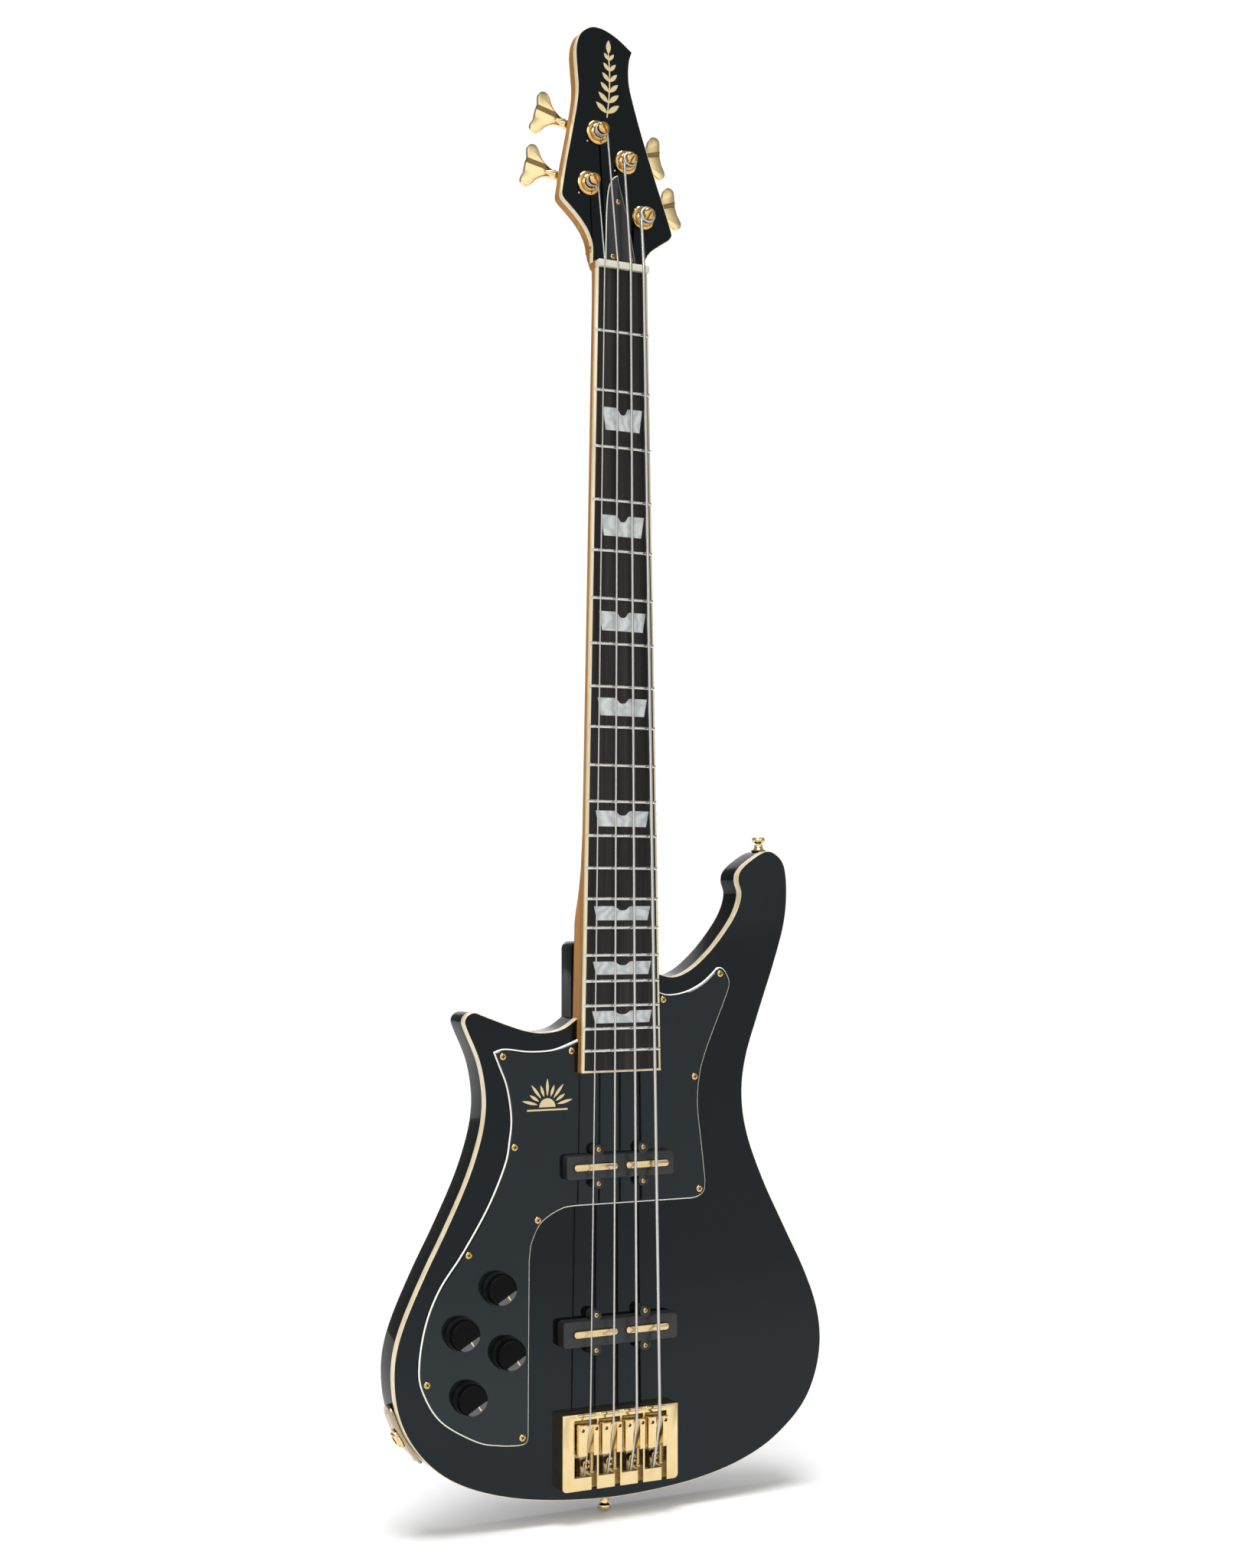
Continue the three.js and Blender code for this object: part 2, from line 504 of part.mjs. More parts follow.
function tunerPost({ x, z }) {
  const start = POST.deepY;
  const height = (y) => start - y;
  const profile = [[0, 0], [POST.deepRadius, 0], [POST.deepRadius, height(HEAD.back - 0.2)],
    [POST.radius, height(HEAD.back - 0.9)], [POST.radius, height(-27.2)], [POST.waist, height(-27.9)],
    [POST.waist, height(-32)], [POST.tipRadius, height(-32.7)], [POST.tipRadius, height(POST.tipY + 0.6)],
    [POST.tipRadius - 0.7, height(POST.tipY)], [0, height(POST.tipY)]];
  const slot = block(x - 0.9, POST.tipY - 1, z - 6, x + 0.9, POST.tipY + 3.4, z + 6);
  return cut(turned(profile, at(x, start, z), TO_FRONT), slot);
}

// The finger blade is waved: its upper lobe leans to the front and its lower lobe to the back.
function tunerKey(tuner) {
  const lobe = (side) => {
    const edge = KEY_HALF.map(([a, c]) => [a, WORM.offset + side * c]);
    const outline = [...edge, [44.8, WORM.offset - side], [20, WORM.offset - side]];
    const middle = WORM.y - side * KEY.wave;
    return tunerSlab(tuner, outline, middle - KEY.thickness / 2, middle + KEY.thickness / 2);
  };
  const shaft = rod(WORM.radius, tunerPoint(tuner, HOUSING.inner + 4, WORM.y, WORM.offset),
    tunerPoint(tuner, 24, WORM.y, WORM.offset), 12);
  const collar = rod(3.6, tunerPoint(tuner, HOUSING.outer + 0.8, WORM.y, WORM.offset),
    tunerPoint(tuner, 20.6, WORM.y, WORM.offset), 12);
  return union(lobe(1), lobe(-1), shaft, collar);
}

// ---- strings --------------------------------------------------------------------------------------
function stringWire(string, index) {
  const nutX = stringX(index, STRING_PITCH.nut);
  const bridgeX = stringX(index, STRING_PITCH.bridge);
  const tuner = TUNERS[string.tuner];
  const postX = tuner.x + string.side * (POST.waist + GAP + string.radius);
  const route = [
    [bridgeX, STRING_Y.tail, BRIDGE.low + BRIDGE_WALL.tail + 0.5],
    [bridgeX, STRING_Y.saddle, SADDLE_Z - STRING_BREAK],
    [nutX, STRING_Y.nut, NUT_Z],
    [nutX, STRING_Y.nut, NUT_Z + NUT.height],
    [postX, STRING_Y.post, tuner.z - 1],
  ];
  const section = ([x, y, z]) => Array.from({ length: 8 }, (_, i) => {
    const angle = Math.PI * i / 4;
    return at(x + string.radius * Math.cos(angle), y + string.radius * Math.sin(angle), z);
  });
  return lofted(route.map(section), (p) => new THREE.Vector2(p.x, p.y));
}

// ---- bridge ---------------------------------------------------------------------------------------
const plateFront = BODY_FRONT - BRIDGE.base - GAP;
const rimFront = BODY_FRONT - BRIDGE.rim;
const pocketLeft = (index) => -BRIDGE.width / 2 + BRIDGE.rail + index * STRING_PITCH.bridge;

function bridgePlate() {
  const half = BRIDGE.width / 2;
  const outline = roundedRectangle(-half, BRIDGE.low, half, BRIDGE.high, BRIDGE_WALL.corner);
  const blank = slab(outline, rimFront, BODY_FRONT - GAP);
  const tools = [];
  STRINGS.forEach((_, i) => {
    const left = pocketLeft(i) + (i === 0 ? 0 : BRIDGE.rib / 2);
    const right = pocketLeft(i + 1) - (i === STRINGS.length - 1 ? 0 : BRIDGE.rib / 2);
    const tailFace = BRIDGE.low + BRIDGE_WALL.tail;
    tools.push(block(left, rimFront - 1, tailFace, right, plateFront, BRIDGE.high - BRIDGE_WALL.front));
    tools.push(block(right - BRIDGE_WALL.notch, rimFront - 1, BRIDGE.low - 1, right, plateFront, tailFace + 1));
  });
  return cut(blank, ...tools);
}

const screwX = (index) => pocketLeft(index + 1) - SCREW.inset;

function saddle(index) {
  const centre = stringX(index, STRING_PITCH.bridge);
  const half = SADDLE.width / 2;
  const blank = block(centre - half, SADDLE.front, SADDLE.low, centre + half, plateFront - GAP, SADDLE.high);
  const radius = STRINGS[index].radius;
  const floor = STRING_Y.saddle + radius + GAP;
  const fall = (STRING_Y.tail - STRING_Y.saddle) / (SADDLE_Z - BRIDGE.low - BRIDGE_WALL.tail);
  const wedge = lofted([
    { z: SADDLE.low - 1, half: 2.6, y: floor + 1 + fall * (SADDLE_Z - SADDLE.low) },
    { z: SADDLE_Z - 1, half: radius + 0.6, y: floor + 0.4 },
    { z: SADDLE.high + 1, half: radius + 0.6, y: floor },
  ].map(({ z, half: w, y }) => [
    at(centre - w, SADDLE.front - 3, z), at(centre + w, SADDLE.front - 3, z),
    at(centre + w, y, z), at(centre - w, y, z),
  ]), (p) => new THREE.Vector2(p.x, p.y));
  const boreEnd = SADDLE.low + SCREW.reach + SADDLE.travel + 1;
  const bore = rod(SCREW.radius + GAP, at(screwX(index), SCREW.y, SADDLE.low - 1),
    at(screwX(index), SCREW.y, boreEnd), 12);
  return cut(blank, wedge, bore);
}

function intonationScrew(index) {
  const x = screwX(index);
  const headLow = BRIDGE.low + BRIDGE_WALL.tail + 1;
  const head = rod(SCREW.headRadius, at(x, SCREW.y, headLow), at(x, SCREW.y, headLow + SCREW.head), 12);
  const shank = rod(SCREW.radius, at(x, SCREW.y, headLow + 1), at(x, SCREW.y, SADDLE.low + SCREW.reach), 12);
  return union(head, shank);
}

// ---- pickups and controls -----------------------------------------------------------------------------
function bladeOutline(pickup, side, extra) {
  const [inner, outer] = [BLADE.inner - extra, BLADE.outer + extra];
  const half = BLADE.height / 2 + extra;
  const [left, right] = side < 0 ? [-outer, -inner] : [inner, outer];
  return roundedRectangle(left, pickup.z - half, right, pickup.z + half, half - 0.05, 3);
}

function pickupBody(pickup) {
  const grooves = [-1, 1].map((side) => slab(bladeOutline(pickup, side, GAP), PICKUP.front - 1, BLADE.back + GAP));
  return cut(pickupSolid(pickup, 0, PICKUP.front, PICKUP.back), ...grooves);
}

function pot([x, z]) {
  const bore = KNOB.stem + GAP;
  const height = (y) => POT.front + POT.depth - y;
  const floor = height(POT.front + POT.depth - 2);
  const profile = [[0, 0], [POT.radius, 0], [POT.radius, height(POT.front)], [POT.bushing, height(POT.front)],
    [POT.bushing, height(POT.bushingFront)], [bore, height(POT.bushingFront)], [bore, floor], [0, floor]];
  return turned(profile, at(x, POT.front + POT.depth, z), TO_FRONT);
}

function knob([x, z]) {
  const start = POT.front + POT.depth - 2.6;
  const height = (y) => start - y;
  const clear = POT.bushing + 0.5;
  const profile = [[0, 0], [KNOB.stem, 0], [KNOB.stem, height(POT.bushingFront - 0.5)],
    [clear, height(POT.bushingFront - 0.5)], [clear, height(KNOB.back)], [KNOB.base - 0.3, height(KNOB.back)],
    [KNOB.base, height(KNOB.back - 1.4)], [KNOB.top + 0.4, height(KNOB.front + 0.8)],
    [KNOB.top, height(KNOB.front)], [0, height(KNOB.front)]];
  return turned(profile, at(x, start, z), TO_FRONT, 20);
}

// ---- jack and strap buttons -----------------------------------------------------------------------------
function jackPlate() {
  const centre = jackPoint.clone().addScaledVector(jackNormal, -JACK.arc);
  const half = JACK_PLATE.length / 2 / JACK.arc;
  const steps = 8;
  const arc = (radius) => Array.from({ length: steps + 1 }, (_, i) => {
    const angle = JACK.normal - half + 2 * half * i / steps;
    return new THREE.Vector2(centre.x + radius * Math.cos(angle), centre.z + radius * Math.sin(angle));
  });
  const outline = [...arc(JACK.arc + 0.5), ...arc(JACK.arc + 0.5 + JACK_PLATE.thickness).reverse()];
  const plate = slab(outline, JACK.y - JACK_PLATE.height / 2, JACK.y + JACK_PLATE.height / 2);
  return cut(plate, rod(JACK_BARREL.radius + GAP, jackPoint.clone().addScaledVector(jackNormal, 8),
    jackPoint.clone().addScaledVector(jackNormal, -8)));
}

function outputJack() {
  const outside = 0.5 + JACK_PLATE.thickness + GAP + 0.2;
  const length = JACK_BARREL.length;
  const nutBase = length + outside;
  const nutTop = nutBase + JACK_BARREL.nutDepth;
  const profile = [[0, 0], [JACK_BARREL.radius, 0], [JACK_BARREL.radius, nutBase], [JACK_BARREL.nut, nutBase],
    [JACK_BARREL.nut, nutTop], [JACK_BARREL.bore, nutTop], [JACK_BARREL.bore, 2], [0, 2]];
  return turned(profile, jackPoint.clone().addScaledVector(jackNormal, -length), jackNormal);
}

function strapButton(height) {
  return [[0, 0], [BUTTON.base, 0], [BUTTON.base, 1.2], [BUTTON.neck, 2.8], [BUTTON.neck, height - 4.8],
    [BUTTON.cap, height - 3.2], [BUTTON.cap, height - 0.6], [BUTTON.cap - 0.6, height], [0, height]];
}

// ---- assembly ---------------------------------------------------------------------------------------------
addPart("body", body(), "black_gloss");
addPart("body_binding", bodyBinding(), "cream");
addPart("pickguard", pickguard(), "black_gloss");
addPart("neck", neckWood(), "maple");
addPart("headstock_face", headFace(), "black_gloss");
addPart("headstock_binding", headBinding(), "cream");
addPart("fretboard", fretboard(), "dark_wood");
addPart("fretboard_binding", fretboardBinding(), "cream");
addPart("nut", nut(), "bone");
addPart("truss_rod",
  rod(TRUSS.radius, at(0, TRUSS.axisY, TRUSS.low), at(0, TRUSS.axisY, TRUSS.high)), "nickel");
addPart("truss_rod_cover", slab(joinCurves(COVER_CURVES, 3), COVER.front, COVER.back), "black_satin");
addPart("neck_plate", neckPlate(), "gold");
addPart("bridge_plate", bridgePlate(), "gold");
addPart("jack_plate", jackPlate(), "gold");
addPart("output_jack", outputJack(), "gold");
addPart("end_strap_button", turned(strapButton(BUTTON.height), at(0, 0, BUTTON.height), at(0, 0, -1)), "gold");
addPart("horn_strap_button",
  turned(strapButton(HORN_BUTTON.height), at(HORN_BUTTON.x, 0, HORN_BUTTON.z + GAP), at(0, 0, 1)), "gold");

for (const [name, pickup] of Object.entries(PICKUPS)) {
  addPart(name, pickupBody(pickup), "black_satin");
  for (const [side, label] of [[-1, "left"], [1, "right"]]) {
    addPart(`${name}_blade_${label}`, slab(bladeOutline(pickup, side, 0), BLADE.front, BLADE.back), "gold");
  }
}

KNOB_PLACES.forEach((place, i) => {
  addPart(`pot_${i + 1}`, pot(place), "nickel");
  addPart(`knob_${i + 1}`, knob(place), "black_satin");
});

for (const [name, tuner] of Object.entries(TUNERS)) {
  addPart(`tuner_housing_${name}`, tunerHousing(tuner), "gold");
  addPart(`tuner_bushing_${name}`, tunerBushing(tuner), "gold");
  addPart(`tuner_post_${name}`, tunerPost(tuner), "gold");
  addPart(`tuner_key_${name}`, tunerKey(tuner), "gold");
}

STRINGS.forEach((string, i) => {
  addPart(`string_${string.name}`, stringWire(string, i), "nickel");
  addPart(`saddle_${string.name}`, saddle(i), "gold");
  addPart(`intonation_screw_${string.name}`, intonationScrew(i), "gold");
});

export default group;
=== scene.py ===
"""Looks of a left-handed four-string electric bass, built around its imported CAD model.

Sizes in this script are millimetres in the part's own frame: X right seen from the front, +Y back, +Z up.
"""

import math

import bmesh
import bpy
from mathutils import Matrix, Vector


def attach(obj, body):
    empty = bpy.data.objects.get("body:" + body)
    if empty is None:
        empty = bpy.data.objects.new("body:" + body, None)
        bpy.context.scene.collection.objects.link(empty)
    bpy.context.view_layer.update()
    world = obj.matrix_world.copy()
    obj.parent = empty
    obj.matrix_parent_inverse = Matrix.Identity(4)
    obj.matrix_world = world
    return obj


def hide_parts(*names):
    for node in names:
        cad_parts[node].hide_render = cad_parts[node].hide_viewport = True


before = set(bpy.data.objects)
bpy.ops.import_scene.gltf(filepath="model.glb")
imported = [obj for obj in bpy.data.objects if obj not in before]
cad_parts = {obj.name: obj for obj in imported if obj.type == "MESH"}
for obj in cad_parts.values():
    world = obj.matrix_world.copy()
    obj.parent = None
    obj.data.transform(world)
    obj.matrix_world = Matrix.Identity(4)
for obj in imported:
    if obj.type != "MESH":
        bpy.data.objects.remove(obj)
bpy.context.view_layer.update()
MM = 0.001
ROOT = "instrument"

# ---- driving sizes, the same as the CAD model's
SCALE_LENGTH = 864.0
NUT_Z = 936.0
SADDLE_Z = NUT_Z - SCALE_LENGTH
FRONT, BACK = -19.0, 13.0
BACK_ROUND = 5.0
BINDING_WIDTH, BINDING_DEPTH, HEAD_BINDING_DEPTH = 0.5, 7.0, 4.8
GUARD_FRONT = FRONT - 2.8
BOARD_CROWN, BOARD_UNDER, BOARD_RADIUS = -31.1, -27.0, 400.0
BOARD_LENGTH = 606.5
BOARD_BINDING = 1.7
BOARD_END = NUT_Z - BOARD_LENGTH
NECK_END = BOARD_END - BOARD_BINDING
HEAD_FRONT, HEAD_BACK = -23.0, -8.5
VENEER_BACK = HEAD_FRONT + 2
COVER_FRONT = HEAD_FRONT - 2.2
NECK_BACK = -8.0
HEEL_TOP, HEEL_BACK = NUT_Z - 511.0, 12.0
# Strings as (name, radius, side of its post); tuners as (x, z, side of the headstock, tilt in degrees)
STRINGS = [("g", 0.58, 1), ("d", 0.82, 1), ("a", 1.05, -1), ("e", 1.3, -1)]
NUT_PITCH, BRIDGE_PITCH = 11.03, 19.0
STRING_Y = {"nut": -33.7, "saddle": -35.6, "tail": -25.4, "post": -30.2}
TUNERS = {"d": (-17.5, NUT_Z + 107, -1, 14.0), "a": (6.5, NUT_Z + 87.5, 1, 13.5),
          "g": (-25.0, NUT_Z + 66.3, -1, 11.0), "e": (21.5, NUT_Z + 46.3, 1, 17.5)}
WORM_OFFSET, WORM_Y = 7.5, 1.0
POST_WAIST = 3.9
INLAY_FRETS = (3, 5, 7, 9, 12, 15, 17, 19)
FRET_COUNT = 20
KNOBS = [(-96.5, 175.0), (-125.0, 145.0), (-89.0, 128.0), (-119.0, 99.0)]
KNOB_TOP_Y = -33.2
KNOB_FLAT_SLANT, KNOB_FLAT_TURN, KNOB_MARK_TURN = math.radians(-20), math.radians(150), math.radians(141)
# Pickups as (z, width, height, and x and z of their screw ears from the middle)
PICKUPS = {"neck_pickup": (258.6, 89.2, 18.2, 18.5, 12.0), "bridge_pickup": (137.2, 94.4, 19.4, 20.2, 12.2)}
PICKUP_FRONT = FRONT - 9.7
BRIDGE = {"half": 47.5, "low": 24.0, "high": 79.5, "rail": 9.5, "front": FRONT - 9.5, "base": FRONT - 2.8}
# The jack as (x, y, z, direction it faces, radius of its curved plate); the horn button as (x, z, height)
JACK = (-163.3, -3.0, 72.75, math.radians(210.5), 87.5)
HORN_BUTTON = (135.5, 494.9, 10.6)
END_BUTTON = 12.9
NECK_PLATE = (-25, 313, 25, 357)
NECK_PLATE_FRONT, NECK_PLATE_BACK = BACK + 0.02, BACK + 2.3
FRONTWARD, BACKWARD, UPWARD = (0, -1, 0), (0, 1, 0), (0, 0, 1)

# ---- light levels
BACK_LEVEL, FRONT_LEVEL, AMBIENT_LEVEL = 0.8, 1.0, 0.3
SUN_STRENGTH = 2.5
SUN_DIRECTION = (0.12, 0.2, -1.0)
SUN_SPREAD = math.radians(32)
KEY_PLACE, KEY_TARGET, KEY_SIZE, KEY_POWER = (-2.4, -2.6, 2.6), (0, 0, 0.5), 2.2, 40
FLOOR_HALF, FLOOR_DROP = 30.0, -0.0015

# ---- camera
CAMERA_PLACE = (-678.4, -1407.8, 454.2)
CAMERA_YAW, CAMERA_PITCH = math.radians(26.354), math.radians(3.314)
CAMERA_LENS, CAMERA_SENSOR = 46.92, 36.0

# ---- outlines: [x, z] control points of smooth curves
BODY_CURVE = [
    (-31, 368), (-43.5, 360), (-59, 357.5), (-74, 359.5), (-91, 365), (-107, 371), (-114, 373.5), (-119, 372),
    (-121.5, 368), (-120, 362), (-110, 339), (-105.5, 317), (-105.5, 299), (-109.5, 279), (-119, 252),
    (-134.5, 219.5), (-151, 188), (-165.5, 157), (-172.5, 135), (-174, 115), (-171, 93.5), (-162.5, 73.5),
    (-148, 55), (-129, 40.5), (-103, 29), (-70, 20.5), (-31, 15.5), (5, 14), (45, 16), (75, 20), (105, 27.5),
    (133, 40), (158.5, 60.5), (172, 82.5), (178, 109), (175.5, 136), (164.5, 166), (145.5, 203), (127, 239.5),
    (113, 275.5), (108.5, 305.5), (112, 334.5), (124, 370), (137, 405.5), (146.5, 436), (149.5, 461),
    (147.5, 482), (140, 491.5), (130.5, 493.5), (117, 486), (108.5, 478.5), (106.5, 471), (109, 460.5),
    (105, 447), (95.5, 432.5), (81, 416), (64.5, 402.5), (49.5, 397), (36, 399.5), (31, 402)]
GUARD_CURVES = [
    [(-33.5, 352), (-47, 347), (-57, 345), (-73, 345), (-87, 347), (-94, 347), (-100, 345)],
    [(-100, 345), (-96, 335.5), (-89.5, 319), (-86, 297), (-87.5, 279), (-91, 262.5), (-104, 233.5),
     (-123.5, 202), (-141.5, 177), (-152, 152), (-156.5, 124), (-153.5, 105.5), (-139.5, 83.5),
     (-112.5, 66.5), (-94, 61.5), (-78.5, 60), (-72.5, 61.5), (-71, 65.5)],
    [(-70.5, 190), (-70, 197), (-68, 206.5), (-60.5, 219.5), (-45, 228), (-33, 229.5)],
    [(64, 229), (70.5, 230.5), (75, 234.5), (76, 242)],
    [(76, 242), (73, 268.5), (69.5, 300), (71.5, 323), (76, 338.5), (83, 355.5), (95.5, 384), (97.5, 392.5),
     (95.5, 398.5), (91.5, 403.5), (86.5, 404), (82.5, 400.5), (74, 393.5), (63.5, 388), (53, 385),
     (42, 384.5), (33.5, 387.5)]]
HEAD_CURVES = [
    [(-21.3, 930), (-21.3, 943), (-21.5, 955), (-25, 965), (-31.5, 974), (-39.5, 982), (-45.5, 987.5),
     (-47.2, 991), (-46.8, 995.5), (-43.4, 1016.5), (-39.3, 1037.5), (-35.2, 1060), (-33.6, 1075),
     (-34.6, 1090), (-35.5, 1104), (-34, 1113), (-30.5, 1119.5), (-23, 1124.5), (-15.5, 1125), (-8, 1123),
     (1, 1118.5), (11.5, 1111)],
    [(11.5, 1111), (9.3, 1104), (8.5, 1093), (10, 1080.5), (16, 1059.5), (22, 1041), (31.3, 1014.5),
     (40.5, 989.5), (45.8, 974), (45.5, 970.5), (43, 967.5), (36, 962.7), (28, 956.5), (24, 951),
     (21.4, 943), (21.3, 930)]]
COVER_CURVES = [
    [(-11.4, 944), (-10.7, 979.7), (-9.5, 996), (-7.6, 1004.4), (-4.2, 1009.8), (-0.7, 1011.8)],
    [(-0.7, 1011.8), (0.5, 1005.1), (3.5, 994.3), (7.6, 979.2), (12.3, 956.2), (14.5, 944)]]
GUARD_SCREWS = [(-92.8, 341.6), (-37.5, 344.0), (-83.3, 275.3), (-64.6, 221.4), (-119.0, 199.9),
                (-150.4, 111.0), (-76.4, 65.8), (88.5, 399.3), (39.0, 380.5), (66.0, 321.4), (69.9, 236.2)]
KEY_HALF = [(20, 2.8), (25, 3.4), (30, 5.6), (34, 9.2), (37, 14), (40.5, 16.6), (44.5, 15.6), (46.2, 12),
            (44.8, 5.5)]


# ---- curves and outlines
def smooth(points, per_span=8):
    """Catmull-Rom curve through the points, sampled evenly in each span."""
    out = []
    last = len(points) - 1
    for i in range(last):
        p0, p1, p2, p3 = points[max(i - 1, 0)], points[i], points[i + 1], points[min(i + 2, last)]
        for k in range(per_span):
            t = k / per_span
            out.append(tuple(
                (2 * b - 2 * c + (c - a) / 2 + (d - b) / 2) * t ** 3
                + (-3 * b + 3 * c - (c - a) - (d - b) / 2) * t ** 2 + (c - a) / 2 * t + b
                for a, b, c, d in zip(p0, p1, p2, p3)))
    return out + [tuple(points[-1])]


def joined(curves, per_span=8):
    """Several smooth curves as one closed outline; repeated corner points are dropped."""
    out = []
    for curve in curves:
        for p in smooth(curve, per_span):
            if not out or math.dist(p, out[-1]) > 0.02:
                out.append(p)
    return out


def area(points):
    return sum(a[0] * b[1] - b[0] * a[1] for a, b in zip(points, points[1:] + points[:1])) / 2


def to_segment(p, a, b):
    """Distance from a point to the stretch between two others."""
    dx, dz = b[0] - a[0], b[1] - a[1]
    t = ((p[0] - a[0]) * dx + (p[1] - a[1]) * dz) / (dx * dx + dz * dz)
    t = min(max(t, 0.0), 1.0)
    return math.hypot(p[0] - a[0] - t * dx, p[1] - a[1] - t * dz)


def inset(points, distance):
    """A closed outline moved inwards; points that would fold over a tight corner go back onto a line."""
    turn = 1 if area(points) > 0 else -1
    count = len(points)

    def normal(a, b):
        length = math.dist(a, b)
        return ((a[1] - b[1]) / length * turn, (b[0] - a[0]) / length * turn)

    out, kept = [], []
    for i, p in enumerate(points):
        n0, n1 = normal(points[i - 1], p), normal(p, points[(i + 1) % count])
        mx, mz = n0[0] + n1[0], n0[1] + n1[1]
        size = math.hypot(mx, mz) or 1.0
        mx, mz = mx / size, mz / size
        reach = distance / max(mx * n1[0] + mz * n1[1], 0.3)
        place = (p[0] + mx * reach, p[1] + mz * reach)
        near = [points[(i + k) % count] for k in range(-min(30, count // 2), min(31, count // 2 + 1))]
        gap = min(to_segment(place, a, b) for a, b in zip(near, near[1:]))
        out.append(place)
        kept.append(gap > 0.97 * abs(distance))
    good = [i for i, keep in enumerate(kept) if keep] or list(range(count))
    for start, end in zip(good, good[1:] + [good[0] + count]):
        a, b = out[start], out[end % count]
        for i in range(start + 1, end):
            t = (i - start) / (end - start)
            out[i % count] = (a[0] + (b[0] - a[0]) * t, a[1] + (b[1] - a[1]) * t)
    return out


def rectangle(x0, z0, x1, z1, radius=0.0, steps=6):
    if radius <= 0:
        return [(x0, z0), (x1, z0), (x1, z1), (x0, z1)]
    corners = [(x1 - radius, z1 - radius), (x0 + radius, z1 - radius), (x0 + radius, z0 + radius),
               (x1 - radius, z0 + radius)]
    turns = [((q + i / steps) * math.pi / 2, corner)
             for q, corner in enumerate(corners) for i in range(steps + 1)]
    return [(x + radius * math.cos(turn), z + radius * math.sin(turn)) for turn, (x, z) in turns]


def circle(x, z, radius, steps=40):
    return [(x + radius * math.cos(2 * math.pi * i / steps), z + radius * math.sin(2 * math.pi * i / steps))
            for i in range(steps)]


# ---- shapes: (points, faces) in millimetres
def volume(points, faces):
    """Signed volume inside a closed shape; positive when its faces look outwards."""
    total = 0.0
    for face in faces:
        a = Vector(points[face[0]])
        for i in range(1, len(face) - 1):
            total += a.dot(Vector(points[face[i]]).cross(Vector(points[face[i + 1]])))
    return total / 6


def facing_out(points, faces):
    return points, faces if volume(points, faces) > 0 else [face[::-1] for face in faces]


def loft(rings, caps=True):
    """Rings of equally many points joined by quads; the ends are capped, or the loop closes itself."""
    count = len(rings[0])
    points = [tuple(p) for ring in rings for p in ring]
    faces = []
    for r in range(len(rings) - 1 if caps else len(rings)):
        s = (r + 1) % len(rings)
        for i in range(count):
            j = (i + 1) % count
            faces.append((r * count + i, r * count + j, s * count + j, s * count + i))
    if caps:
        last = (len(rings) - 1) * count
        faces.append(tuple(range(count - 1, -1, -1)))
        faces.append(tuple(last + i for i in range(count)))
    return facing_out(points, faces)


def slab(outline, profile):
    """An outline in X and Z lofted through (y, inset) steps."""
    return loft([[(x, y, z) for x, z in (inset(outline, d) if d else outline)] for y, d in profile])


def band(outline, section):
    """A closed (y, inset) section swept round an outline."""
    return loft([[(x, y, z) for x, z in inset(outline, d)] for y, d in section], caps=False)


def flat_slab(outline, y0, y1):
    return slab(outline, [(y0, 0), (y1, 0)])


def turned(profile, origin, axis, steps=48, ripple=0.0):
    """A profile of (radius, height) turned about an axis; ripple makes every second line of points lower."""
    turn = Vector((0, 0, 1)).rotation_difference(Vector(axis).normalized()).to_matrix()
    rings = []
    for radius, height in profile:
        ring = []
        for i in range(steps):
            r = max(radius - (ripple if i % 2 and radius > 5 else 0), 0.001)
            angle = 2 * math.pi * i / steps
            local = Vector((r * math.cos(angle), r * math.sin(angle), height))
            ring.append(tuple(turn @ local + Vector(origin)))
        rings.append(ring)
    return loft(rings)


def tube(path, radius, sides=12):
    """A round wire along points; its section keeps turning with the path."""
    rings = []
    points = [Vector(p) for p in path]
    up = Vector((1, 0, 0))
    for i, p in enumerate(points):
        direction = (points[min(i + 1, len(points) - 1)] - points[max(i - 1, 0)]).normalized()
        side = (up - direction * up.dot(direction)).normalized()
        up = side
        other = direction.cross(side)
        rings.append([tuple(p + radius * (math.cos(a) * side + math.sin(a) * other))
                      for a in (2 * math.pi * k / sides for k in range(sides))])
    return loft(rings)


def merged(*shapes):
    points, faces = [], []
    for p, f in shapes:
        base = len(points)
        points += p
        faces += [tuple(base + i for i in face) for face in f]
    return points, faces


def moved(shape, matrix):
    points, faces = shape
    mirrored = matrix.determinant() < 0
    return [tuple(matrix @ Vector(p)) for p in points], [face[::-1] for face in faces] if mirrored else faces


def to_bmesh(shape):
    bm = bmesh.new()
    verts = [bm.verts.new(p) for p in shape[0]]
    for face in shape[1]:
        bm.faces.new([verts[i] for i in face])
    bm.normal_update()
    return bm


def from_bmesh(bm):
    bm.verts.index_update()
    shape = [tuple(v.co) for v in bm.verts], [tuple(v.index for v in f.verts) for f in bm.faces]
    bm.free()
    return shape


def box(x0, y0, z0, x1, y1, z1, bevel=0.0, segments=2):
    """A box with its edges rounded over."""
    shape = loft([[(x0, y0, z), (x1, y0, z), (x1, y1, z), (x0, y1, z)] for z in (z0, z1)])
    if not bevel:
        return shape
    bm = to_bmesh(shape)
    bmesh.ops.bevel(bm, geom=list(bm.edges), offset=bevel, segments=segments, profile=0.5, affect="EDGES")
    return from_bmesh(bm)


def new_object(name, data, place=(0, 0, 0)):
    obj = bpy.data.objects.new(name, data)
    obj.location = place
    bpy.context.scene.collection.objects.link(obj)
    return obj


def temporary(shape):
    bm = to_bmesh(shape)
    mesh = bpy.data.meshes.new("temporary")
    bm.to_mesh(mesh)
    bm.free()
    return new_object("temporary", mesh)


